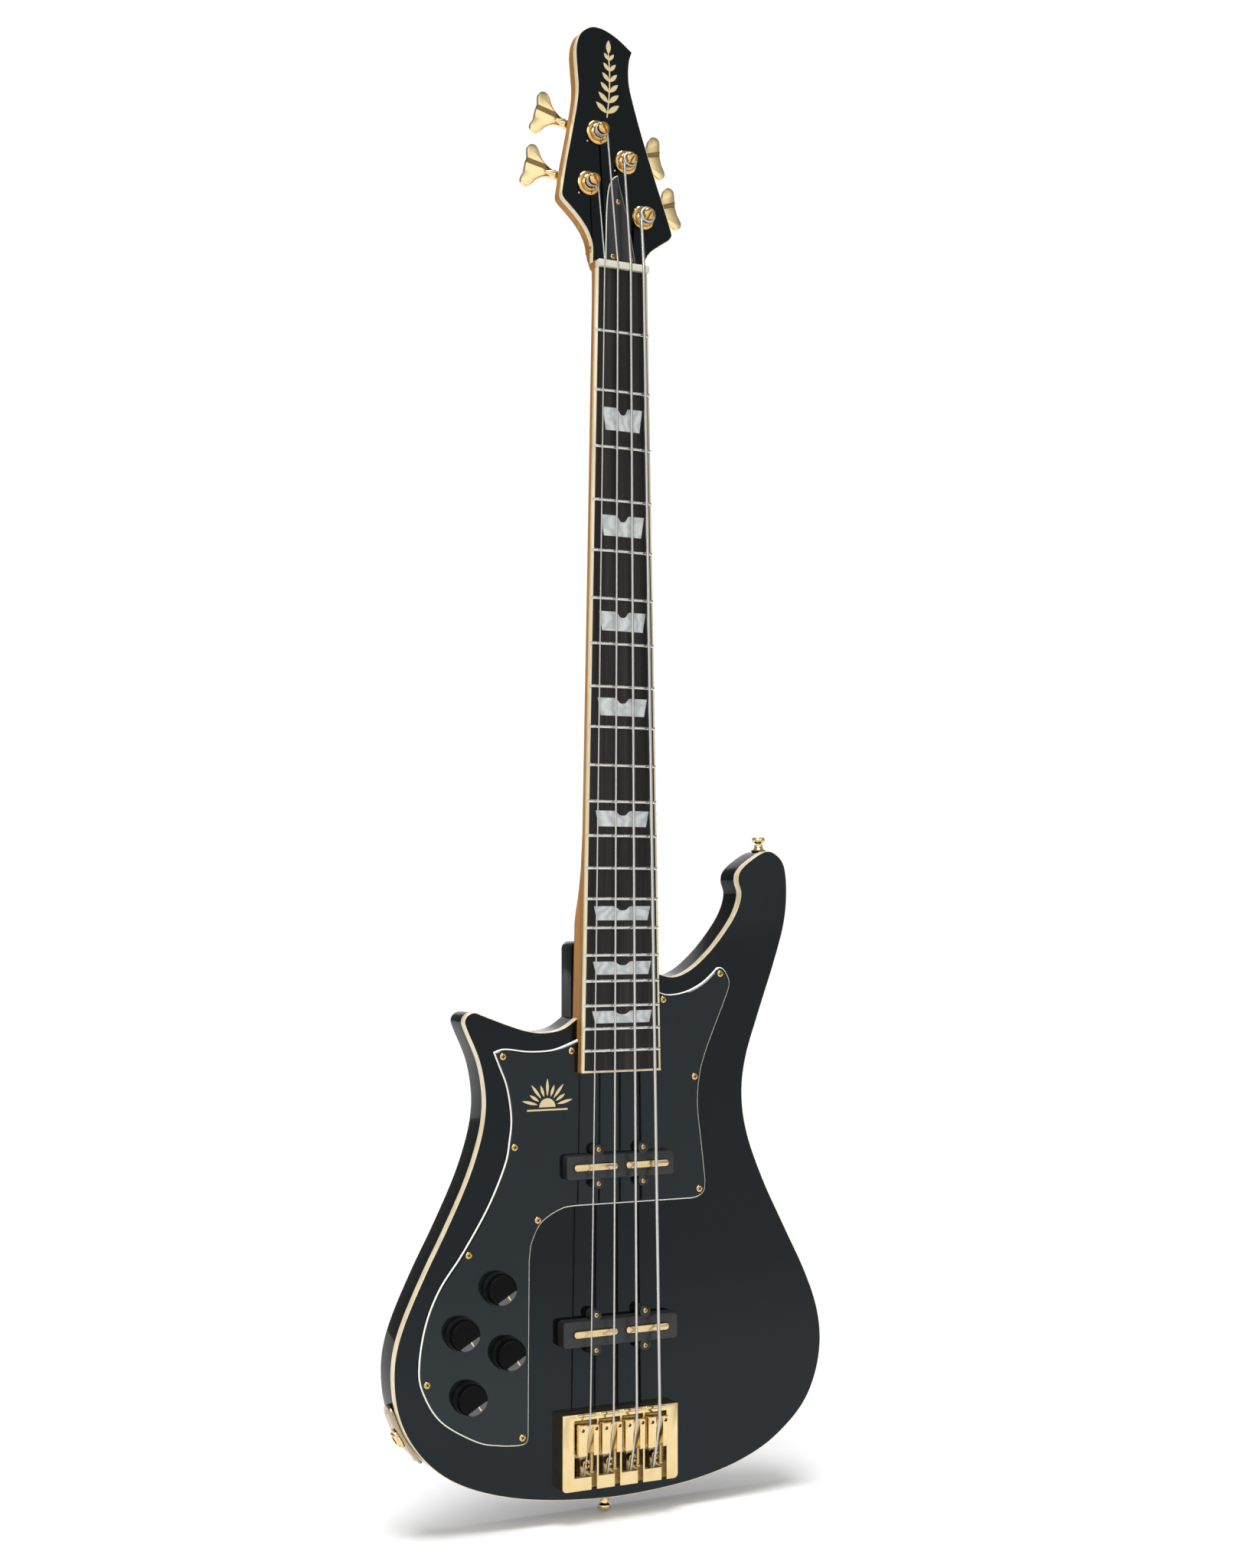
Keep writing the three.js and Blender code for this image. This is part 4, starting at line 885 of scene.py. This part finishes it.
def make_tuners():
    key = key_shape()
    for name, (x, z, side, _) in TUNERS.items():
        place = tuner_frame(name)
        make_key(name, key, place)
        case = merged(box(-11, HEAD_BACK + 0.02, -9, 13, -6.9, 13.5, 0.8, 3),
                      box(-8.5, -7.2, -6.5, 12, 7, 12.6, 2.6, 4),
                      turned([(4.4, 0), (4.4, 3.6), (3.8, 4.2)], (12, WORM_Y, WORM_OFFSET), (1, 0, 0), 32))
        piece(f"tuner_case_{name}", moved(case, place), GOLD, replaces=[f"tuner_housing_{name}"], sharp=40)
        corners = [place @ Vector((a, -7.0, c)) for a, c in ((-9.6, -7.2), (10.6, -7.2), (-9.6, 11.6))]
        screw_set(f"tuner_case_screws_{name}", PAN_SCREW, [tuple(corner) for corner in corners], BACKWARD)
        washer = turned([(4.6, 0), (9.25, 0), (9.25, 0.7), (8.6, 1.25), (7.4, 1.4), (7.1, 1.0), (4.6, 1.0)],
                        (x, HEAD_FRONT - 0.02, z), FRONTWARD, 48)
        hexagon = slab(circle(x, z, 7.4, 6),
                       [(HEAD_FRONT - 0.9, 0), (HEAD_FRONT - 2.4, 0), (HEAD_FRONT - 2.8, 0.6)])
        collar = turned([(4.6, 0), (6.2, 0), (6.2, 0.6), (5.4, 1.3), (4.6, 1.3)],
                        (x, HEAD_FRONT - 2.7, z), FRONTWARD, 40)
        piece(f"tuner_ferrule_{name}", merged(washer, hexagon, collar), GOLD_DEEP,
              replaces=[f"tuner_bushing_{name}"], sharp=30)
        make_post(name, x, z, side)


def make_key(name, key, place):
    along = place.to_3x3() @ Vector(UPWARD)
    hub = place @ Vector((0, 0, WORM_OFFSET))

    def is_step(centre, normal):
        return 1 if 1.5 < (centre - hub).dot(along) < 4.3 and (centre - hub).length > 24 else 0

    piece(f"tuner_key_{name}_clover", moved(key, place), [KEY_GOLD, GOLD_SHADE], body=f"key_{name}",
          replaces=[f"tuner_key_{name}"], sharp=28, pick=is_step)


def make_post(name, x, z, side):
    """A string post with a slot across its top, and the string's turns round its waist."""
    profile = [(3.4, -4.6), (3.4, 8.7), (4.2, 9.4), (4.2, 26.8), (4.05, 27.4), (POST_WAIST, 28),
               (POST_WAIST, 32), (4.1, 32.3), (4.5, 32.8), (4.5, 34.6), (4.2, 35.2), (3.7, 35.5),
               (1.3, 35.5), (1.2, 34.4), (0.01, 34.4)]
    post = turned(profile, (x, 0, z), FRONTWARD, 40)
    slot = moved(box(-0.95, -40, -8, 0.95, -32.2, 8),
                 Matrix.Translation((x, 0, z)) @ Matrix.Rotation(0.5 * side, 4, "Y"))
    piece(f"tuner_post_{name}_barrel", carved(post, slot), GOLD_DEEP, body=f"post_{name}",
          replaces=[f"tuner_post_{name}"])
    radius = dict((n, r) for n, r, _ in STRINGS)[name]
    reach = POST_WAIST + radius
    turns, steps = 3, 36
    coil = []
    for i in range(turns * steps + 1):
        angle = 2 * math.pi * i / steps
        sink = 3.3 * i / (turns * steps) * min(1.0, radius + 0.4)
        coil.append((x - side * reach * math.cos(angle), -28.3 - sink, z + reach * math.sin(angle)))
    piece(f"string_wraps_{name}", tube(coil, radius, 10), WOUND, body=f"post_{name}")


# ---- strings
def make_strings():
    """Each string from the tail block over its saddle and the nut to its post."""
    for i, (name, radius, side) in enumerate(STRINGS):
        bridge_x, nut_x = (i - 1.5) * BRIDGE_PITCH, (i - 1.5) * NUT_PITCH
        x, z, _, _ = TUNERS[name]
        post_x = x + side * (POST_WAIST + radius)
        path = [(bridge_x, STRING_Y["tail"], BRIDGE["low"] + 10.2),
                (bridge_x, STRING_Y["saddle"] + 0.45, SADDLE_Z - 2.5),
                (bridge_x, STRING_Y["saddle"] + 0.05, SADDLE_Z - 1)]
        start = Vector((bridge_x, STRING_Y["saddle"], SADDLE_Z + 0.5))
        end = Vector((nut_x, STRING_Y["nut"], NUT_Z))
        path += [tuple(start.lerp(end, k / 40)) for k in range(41)]
        path += [(nut_x, STRING_Y["nut"], NUT_Z + 5.2)]
        start = Vector((nut_x, STRING_Y["nut"] + 0.15, NUT_Z + 6))
        end = Vector((post_x, STRING_Y["post"], z - 0.5))
        path += [tuple(start.lerp(end, k / 8)) for k in range(9)]
        piece(f"string_{name}_wire", tube(path, radius, 14), WOUND, replaces=[f"string_{name}"])


# ---- pickups
def make_pickups():
    profile = [(FRONT + 2, 0), (PICKUP_FRONT + 1.2, 0), (PICKUP_FRONT + 0.35, 0.35), (PICKUP_FRONT, 1.2)]
    for name, (z, width, height, ear_x, ear_z) in PICKUPS.items():
        cover = slab(rectangle(-width / 2, z - height / 2, width / 2, z + height / 2, 3, 8), profile)
        corners = [(i * ear_x, j) for i in (-1, 1) for j in (-1, 1)]
        ears = [slab(circle(x, z + j * ear_z, 4.6, 32), profile) for x, j in corners]
        whole = carved(cover, *ears, operation="UNION")
        grooves = [flat_slab(rectangle(a, z - 2.8, b, z + 2.8, 2.75, 8), PICKUP_FRONT - 3, PICKUP_FRONT + 4)
                   for a, b in ((-39.3, -3.3), (3.3, 39.3))]
        # The cover's side walls and groove walls take the dark material as painted shade.
        piece(f"{name}_cover", carved(whole, *grooves), [SATIN, DARK], replaces=[name],
              sharp=30, pick=lambda centre, normal: 0 if abs(normal.y) > 0.3 else 1)
        for label, left in (("left", -39.0), ("right", 3.6)):
            piece(f"{name}_{label}_pole_bar", blade(left, z), ORANGE_GOLD,
                  replaces=[f"{name}_blade_{label}"])
        screw_set(f"{name}_screws", PICKUP_SCREW,
                  [(x, PICKUP_FRONT + 0.05, z + j * (ear_z + 0.6)) for x, j in corners])


def blade(left, z, length=35.4, depth=2.4):
    """A pole bar with a scalloped edge."""
    steps = 120
    upper = []
    for i in range(steps + 1):
        u = i / steps
        past = max(abs(u - 0.5) * length - (length / 2 - depth), 0) / depth
        ripple = 0.12 * math.sin(2 * math.pi * 16 * u) * (1 if 0.08 < u < 0.92 else 0)
        upper.append((left + length * u, max((depth + ripple) * math.sqrt(max(0.0, 1 - past ** 2)), 0.02)))
    outline = [(x, z + c) for x, c in upper] + [(x, z - c) for x, c in reversed(upper)]
    return slab(outline, [(PICKUP_FRONT + y, d)
                          for y, d in ((3.5, 0), (-1.7, 0), (-1.92, 0.08), (-2.0, 0.25))])


# ---- knobs
def make_knobs():
    """Tapered knobs: a smooth skirt, a knurled grip, and a slanted flat that carries a gold pointer."""
    top = -KNOB_TOP_Y
    base = -GUARD_FRONT + 0.6
    skirt_profile = [(5.4, base), (12.1, base), (12.4, base + 1.2), (11.7, base + 5.2), (5.4, base + 5.2)]
    grip_profile = [(5.4, base + 5.0), (11.55, base + 5.1), (11.1, top - 1.2), (10.8, top - 0.5),
                    (10.2, top - 0.1), (9.4, top), (0.01, top)]
    tilt = Matrix.Translation((0, 0, 5.6)) @ Matrix.Rotation(KNOB_FLAT_SLANT, 4, "X")

    def part(centre, normal):
        if centre.y > -base - 5.4:
            return 0
        return 2 if abs(normal.y + math.cos(KNOB_FLAT_SLANT)) < 0.01 and normal.z < -0.2 else 1

    for i, (x, z) in enumerate(KNOBS, 1):
        skirt = turned(skirt_profile, (x, 0, z), FRONTWARD, 96)
        grip = turned(grip_profile, (x, 0, z), FRONTWARD, 96, ripple=0.45)
        middle = Matrix.Translation((x, KNOB_TOP_Y, z))
        cutter = moved(box(-14, -12, 0, 14, 0, 20), middle @ Matrix.Rotation(KNOB_FLAT_TURN, 4, "Y") @ tilt)
        piece(f"knob_{i}_grip", merged(skirt, carved(grip, cutter)), [SKIRT, KNOB_TOP, FLAT],
              body=f"knob_{i}", replaces=[f"knob_{i}"], sharp=40, pick=part)
        mark = moved(box(-0.5, -0.2, -0.1, 0.5, 0.3, 4.6, 0.06),
                     middle @ Matrix.Rotation(KNOB_MARK_TURN, 4, "Y") @ tilt)
        piece(f"knob_{i}_pointer", mark, GOLD, body=f"knob_{i}")
        washer = turned([(5, 0), (7.8, 0), (7.8, 0.4), (5, 0.4)], (x, GUARD_FRONT, z), FRONTWARD, 32)
        bushing = turned([(3.4, -1), (4.6, -1), (4.6, 1.6), (3.4, 1.6)], (x, GUARD_FRONT, z), FRONTWARD, 32)
        piece(f"pot_{i}_bushing", merged(washer, bushing), STEEL, replaces=[f"pot_{i}"])


# ---- bridge
def make_bridge():
    half, low, high, rail, front, base = (BRIDGE[k] for k in ("half", "low", "high", "rail", "front", "base"))
    rounded = [(x, z) for x, z in rectangle(-half, low, half, high + 9, 3.5, 8) if z < high]
    blank = slab([(half, high), (-half, high), *rounded],
                 [(FRONT - 0.02, 0), (front + 0.5, 0), (front + 0.15, 0.15), (front, 0.5)])
    tools = []
    for i in range(4):
        left = -half + rail + i * BRIDGE_PITCH + (0.7 if i else 0)
        right = -half + rail + (i + 1) * BRIDGE_PITCH - (0.7 if i < 3 else 0)
        tools.append(box(left, front - 2, low + 9.5, right, base, high - 4.5))
        tools.append(box(right - 4.4, front - 2, low - 2, right, base, low + 12))

    # Faces inside the saddle pockets take the darker gold as painted shade.
    def in_pocket(centre, normal):
        return 1 if centre.y > front + 1.0 and abs(centre.x) < half - rail + 0.5 else 0

    piece("bridge_frame", carved(blank, *tools), [GOLD, GOLD_PAINTED_SHADE], replaces=["bridge_plate"], sharp=30,
          pick=in_pocket)
    lips, mounts, rods = [], [], []
    ridges = [(1.7 + 0.5 * (k % 2), low + 10.2 + 0.4 * k) for k in range(33)]
    thread = [(0.01, ridges[0][1]), *ridges, (0.01, ridges[-1][1])]
    for i in range(4):
        centre = (i - 1.5) * BRIDGE_PITCH
        for y, z0, z1 in ((front - 0.6, 2.6, 0.3), (front + 0.1, 4.7, 2.8)):
            lips.append(box(centre - 8.3, y, high - z0, centre + 8.3, base, high - z1, 0.9, 3))
        mounts.append((centre + 2.6, base - 2.5, low + 17.6))
        rods.append(turned(thread, (centre - 5.9, -25.4, 0), UPWARD, 20))
    piece("bridge_front_lips", merged(*lips), GOLD, sharp=40)
    piece("bridge_threaded_rods", merged(*rods), BROWN, sharp=20)
    screw_set("bridge_mounting_screws", FOOT_SCREW, mounts)
    for i, (name, radius, _) in enumerate(STRINGS):
        make_saddle(i, name, radius)


def make_saddle(index, name, radius):
    """A saddle block with a wedge-shaped notch under its string, two grub screws and its intonation screw."""
    centre = (index - 1.5) * BRIDGE_PITCH
    low, high = 50.0, SADDLE_Z + 0.6
    front, back = -33.8, -22.1
    blank = box(centre - 8.3, front, low, centre + 8.3, back, high, 0.7, 3)
    wedge = loft([[(centre - a, front - 4, z), (centre + 3.8, front - 4, z), (centre + 3.8, y, z),
                   (centre - a, y, z)]
                  for z, a, y in ((low - 1, 2.2, -24.0), (SADDLE_Z - 0.6, radius + 0.5, -33.2))])
    groove = tube([(centre, STRING_Y["saddle"] + 0.1, SADDLE_Z - 2),
                   (centre, STRING_Y["saddle"], SADDLE_Z + 4)], radius, 16)
    screw_x = -BRIDGE["half"] + BRIDGE["rail"] + (index + 1) * BRIDGE_PITCH - 3.7
    bore = turned([(1.7, 0), (1.7, 18)], (screw_x, -25.2, low - 1), UPWARD, 24)
    grub_places = [(centre - 4.9, high - 4.0), (centre + 6.0, high - 3.4)]
    sockets = [turned([(1.35, 0), (1.35, 3)], (x, front + 1.6, z), FRONTWARD, 24) for x, z in grub_places]
    piece(f"saddle_{name}_block", carved(blank, wedge, groove, bore, *sockets), GOLD,
          body=f"saddle_{name}", replaces=[f"saddle_{name}"], sharp=32)
    grubs = []
    for x, z in grub_places:
        grub = turned([(1.3, 0), (1.3, 0.5), (1.1, 0.7), (0.01, 0.7)], (x, front + 1.9, z), FRONTWARD, 24)
        key = turned([(0.65, 0), (0.65, 3)], (x, front + 1.7, z), FRONTWARD, 6)
        grubs.append(carved(grub, key))
    piece(f"saddle_{name}_grub_screws", merged(*grubs), BROWN, body=f"saddle_{name}")
    head_top = BRIDGE["low"] + 13.0
    screw = merged(placed(cross_screw(2.6, 2.0, 0.6), (screw_x, -25.2, head_top), (0, 0, -1)),
                   turned([(1.5, 0), (1.5, 26)], (screw_x, -25.2, head_top - 0.1), UPWARD, 20))
    # The intonation screw takes the darker gold as painted shade under the bridge.
    piece(f"intonation_screw_{name}_shank", screw, GOLD_PAINTED_SHADE, body=f"screw_{name}",
          replaces=[f"intonation_screw_{name}"], sharp=40)


# ---- jack, strap buttons, neck plate
def make_jack():
    """A curved oval plate with the jack's socket in its middle and a screw at each end."""
    x, middle, z, normal, arc = JACK
    out = Vector((math.cos(normal), 0, math.sin(normal)))
    place = Vector((x, middle, z))
    centre = place - out * arc
    half = 25.5 / arc

    def radial(u):
        return Vector((math.cos(normal + half * u), 0, math.sin(normal + half * u)))

    steps = 32
    rings = []
    for i in range(steps + 1):
        u = -1 + 2 * i / steps
        tall = 10 * math.sqrt(max(1 - max(abs(u) - 0.62, 0) ** 2 / 0.38 ** 2, 0.003))
        edge = tall - min(1.2, tall * 0.5)
        rings.append([tuple(centre + radial(u) * (arc + r) + Vector((0, y, 0)))
                      for r, y in ((0.1, -tall), (1.4, -tall), (2.1, -edge), (2.3, 0), (2.1, edge),
                                   (1.4, tall), (0.1, tall))])
    hole = turned([(6.0, 0), (6.0, 12)], tuple(place - out * 4), tuple(out), 40)
    piece("jack_oval_plate", carved(loft(rings), hole), JACK_GOLD, replaces=["jack_plate"])
    barrel = turned([(3.35, 2), (5.8, 2), (5.8, 26.6), (7.9, 26.7), (7.9, 27.4), (7.3, 28), (6.2, 28.1),
                     (5.6, 29.4), (3.9, 29.6), (3.35, 29.2), (3.35, 2.5)],
                    tuple(place - out * 24), tuple(out), 48)
    piece("jack_socket", barrel, GOLD, replaces=["output_jack"], sharp=40)
    ends = (-0.78, 0.78)
    screw_set("jack_plate_screws", PAN_SCREW, [tuple(centre + radial(u) * (arc + 2.0)) for u in ends],
              [tuple(radial(u)) for u in ends])


def button(height):
    """Profile of a waisted strap button with a dished top."""
    return [(5.0, 0), (5.0, 0.8), (4.4, 1.4), (3.6, 2.4), (3.3, 3.6), (3.3, height - 5.4),
            (3.7, height - 4.4), (4.9, height - 3.7), (5.1, height - 3.2), (5.1, height - 0.9),
            (4.8, height - 0.2), (4.3, height), (2.6, height), (2.4, height - 0.8), (0.01, height - 0.8)]


def make_strap_buttons():
    x, z, horn_height = HORN_BUTTON
    for name, origin, axis, height in (("end_strap_button", (0, 0, END_BUTTON), (0, 0, -1), END_BUTTON),
                                       ("horn_strap_button", (x, 0, z), UPWARD, horn_height)):
        piece(f"{name}_turned", turned(button(height), origin, axis, 48), GOLD, replaces=[name], sharp=40)
        head = Vector(origin) + Vector(axis) * (height - 1.1)
        screw_set(f"{name}_screw", BUTTON_SCREW, [tuple(head)], axis)
        felt = turned([(3.0, -0.6), (5.7, -0.6), (5.9, -0.1), (5.7, 0.5), (3.0, 0.5)], origin, axis, 40)
        piece(f"{name}_felt_washer", felt, RUBBER)


def make_neck_plate():
    plate = slab(rectangle(*NECK_PLATE, 5, 8), [(NECK_PLATE_FRONT, 0), (NECK_PLATE_BACK - 0.8, 0),
                                                (NECK_PLATE_BACK - 0.25, 0.35), (NECK_PLATE_BACK, 1.0)])
    places = [(i * 17.5, 335 + j * 15) for i in (-1, 1) for j in (-1, 1)]
    sinks = [turned([(4.5, 0), (5.3, 3)], (x, BACK + 0.8, z), BACKWARD, 40) for x, z in places]
    piece("neck_bolt_plate", carved(plate, *sinks), GOLD, replaces=["neck_plate"], sharp=30)
    screw_set("neck_bolts", BIG_SCREW, [(x, BACK + 0.9, z) for x, z in places], BACKWARD)


# ---- plain ornaments
def leaf(x, z, angle, length, width, steps=14):
    """A pointed leaf from its stalk end, turned from straight up by an angle."""
    side = [(width / 2 * math.sin(math.pi * k / steps) ** 0.9 if 0 < k < steps else 0.0, length * k / steps)
            for k in range(steps + 1)]
    outline = side + [(-a, b) for a, b in reversed(side[1:-1])]
    return [(x + a * math.cos(angle) + b * math.sin(angle), z - a * math.sin(angle) + b * math.cos(angle))
            for a, b in outline]


def printed(name, outlines, front):
    """Thin flat prints; each is a little prouder than the one before, so none share a plane."""
    layers = [flat_slab(outline, front + 0.05, front - 0.05 - 0.004 * i)
              for i, outline in enumerate(outlines)]
    piece(name, merged(*layers), PRINT)


def make_ornaments():
    """A plain rising sun on the guard, a leafy stem and three small marks on the headstock."""
    x, z = -57.3, 303.5
    disc = [(x + 6.5 * math.cos(math.pi * k / 20), z + 6.5 * math.sin(math.pi * k / 20)) for k in range(21)]
    sun = [disc, rectangle(x - 16.5, z - 2.6, x + 16.5, z - 1.4, 0.5, 4)]
    for k in range(9):
        angle = math.radians(-76 + 19 * k)
        length = 13.0 if k % 2 == 0 else 9.0
        sun.append(leaf(x + 8 * math.sin(angle), z + 8 * math.cos(angle), angle, length, 2.2))
    printed("guard_sun_print", sun, GUARD_FRONT)
    stem = [(-9.5 + 2.2 * math.sin(2.6 * u), 1056 + 50 * u) for u in (k / 30 for k in range(31))]
    strokes = [[(a - 0.5, b) for a, b in stem] + [(a + 0.5, b) for a, b in reversed(stem)]]
    for k in range(6):
        for side in (-1, 1):
            turn = side * math.radians(52 - 3 * k)
            strokes.append(leaf(*stem[2 + 5 * k], turn, 12.5 - 1.1 * k, 4.2 - 0.3 * k))
    strokes.append(leaf(*stem[-1], 0.0, 11.0, 4.0))
    printed("headstock_leaf_print", strokes, HEAD_FRONT)
    marks = [circle(a, b, 0.7, 16) for a, b in ((-26.1, 1035.2), (-33.2, 993.7), (-2.8, 1015.6))]
    printed("headstock_marks", marks, HEAD_FRONT)


# ---- studio
def degrees(*angles):
    return [math.radians(a) for a in angles]


def window(tree, source, start, full, stay, end):
    """Rises from 0 to 1 between the first two values and falls back between the last two."""
    rise = spread(tree, source, 0.0, 1.0, start, full)
    return maths(tree, "MULTIPLY", rise, spread(tree, source, 1.0, 0.0, stay, end))


def make_world():
    """Soft studio surroundings: bright behind the part, a broad pale wall in front, dimmer elsewhere."""
    world = bpy.data.worlds.new("studio")
    world.use_nodes = True
    tree = world.node_tree
    split = add(tree, "ShaderNodeSeparateXYZ")
    tree.links.new(add(tree, "ShaderNodeTexCoord").outputs["Generated"], split.inputs["Vector"])
    x, y, z = split.outputs
    back = window(tree, maths(tree, "ARCTAN2", x, y), *degrees(-2, 6, 60, 80))
    back = maths(tree, "MULTIPLY", back, spread(tree, z, 1.0, 0.0, 0.5, 0.7))
    ahead = maths(tree, "ARCTAN2", x, maths(tree, "MULTIPLY", y, -1.0))
    front = window(tree, ahead, *degrees(-110, -70, 26, 46))
    front = maths(tree, "MULTIPLY", front, spread(tree, z, 1.0, 0.0, 0.38, 0.55))
    total = maths(tree, "ADD", maths(tree, "MULTIPLY", back, BACK_LEVEL),
                  maths(tree, "MULTIPLY", front, FRONT_LEVEL))
    background = tree.nodes["Background"]
    tree.links.new(maths(tree, "ADD", total, AMBIENT_LEVEL), background.inputs["Strength"])
    background.inputs["Color"].default_value = (1, 1, 1, 1)
    bpy.context.scene.world = world


def make_floor():
    """A pale floor that grows a little darker far in front of the part."""
    mesh = bpy.data.meshes.new("studio_floor")
    a = FLOOR_HALF
    mesh.from_pydata([(-a, -a, 0), (a, -a, 0), (a, a, 0), (-a, a, 0)], [], [(0, 1, 2, 3)])
    look, tree, shader = material("studio_floor", (0.95, 0.95, 0.95), 0.9, specular=0.0)
    split = add(tree, "ShaderNodeSeparateXYZ")
    tree.links.new(object_coordinates(tree, (1, 1, 1)), split.inputs["Vector"])
    shade = spread(tree, split.outputs["Y"], 0.66, 0.95, -1.0, -0.4)
    feed(shader, "Base Color", ramp(tree, shade, [(0.0, (0, 0, 0)), (1.0, (1, 1, 1))]))
    mesh.materials.append(look)
    floor = new_object("studio_floor", mesh, (0, 0, FLOOR_DROP))


def facing(direction):
    return Vector(direction).to_track_quat("-Z", "Y").to_euler()


def make_lights():
    sun = bpy.data.lights.new("overhead", "SUN")
    sun.energy = SUN_STRENGTH
    sun.angle = SUN_SPREAD
    new_object("overhead", sun).rotation_euler = facing(SUN_DIRECTION)
    key = bpy.data.lights.new("key", "AREA")
    key.size = KEY_SIZE
    key.energy = KEY_POWER
    new_object("key", key, KEY_PLACE).rotation_euler = facing(Vector(KEY_TARGET) - Vector(KEY_PLACE))
    bpy.context.scene.view_settings.view_transform = "Standard"


def make_camera():
    ahead = (math.sin(CAMERA_YAW) * math.cos(CAMERA_PITCH), math.cos(CAMERA_YAW) * math.cos(CAMERA_PITCH),
             math.sin(CAMERA_PITCH))
    camera = bpy.data.cameras.new("camera")
    camera.sensor_width = CAMERA_SENSOR
    camera.lens = CAMERA_LENS
    camera.clip_end = 100
    obj = new_object("camera", camera, Vector(CAMERA_PLACE) * MM)
    obj.rotation_euler = facing(ahead)
    bpy.context.scene.camera = obj


make_camera()
make_floor()
make_world()
make_lights()
make_body()
make_body_binding()
make_pickguard()
make_neck()
make_headstock_face()
make_fretboard()
make_frets()
make_inlays()
make_nut()
make_guard_screws()
make_truss_cover()
make_tuners()
make_strings()
make_pickups()
make_knobs()
make_bridge()
make_jack()
make_strap_buttons()
make_neck_plate()
make_ornaments()
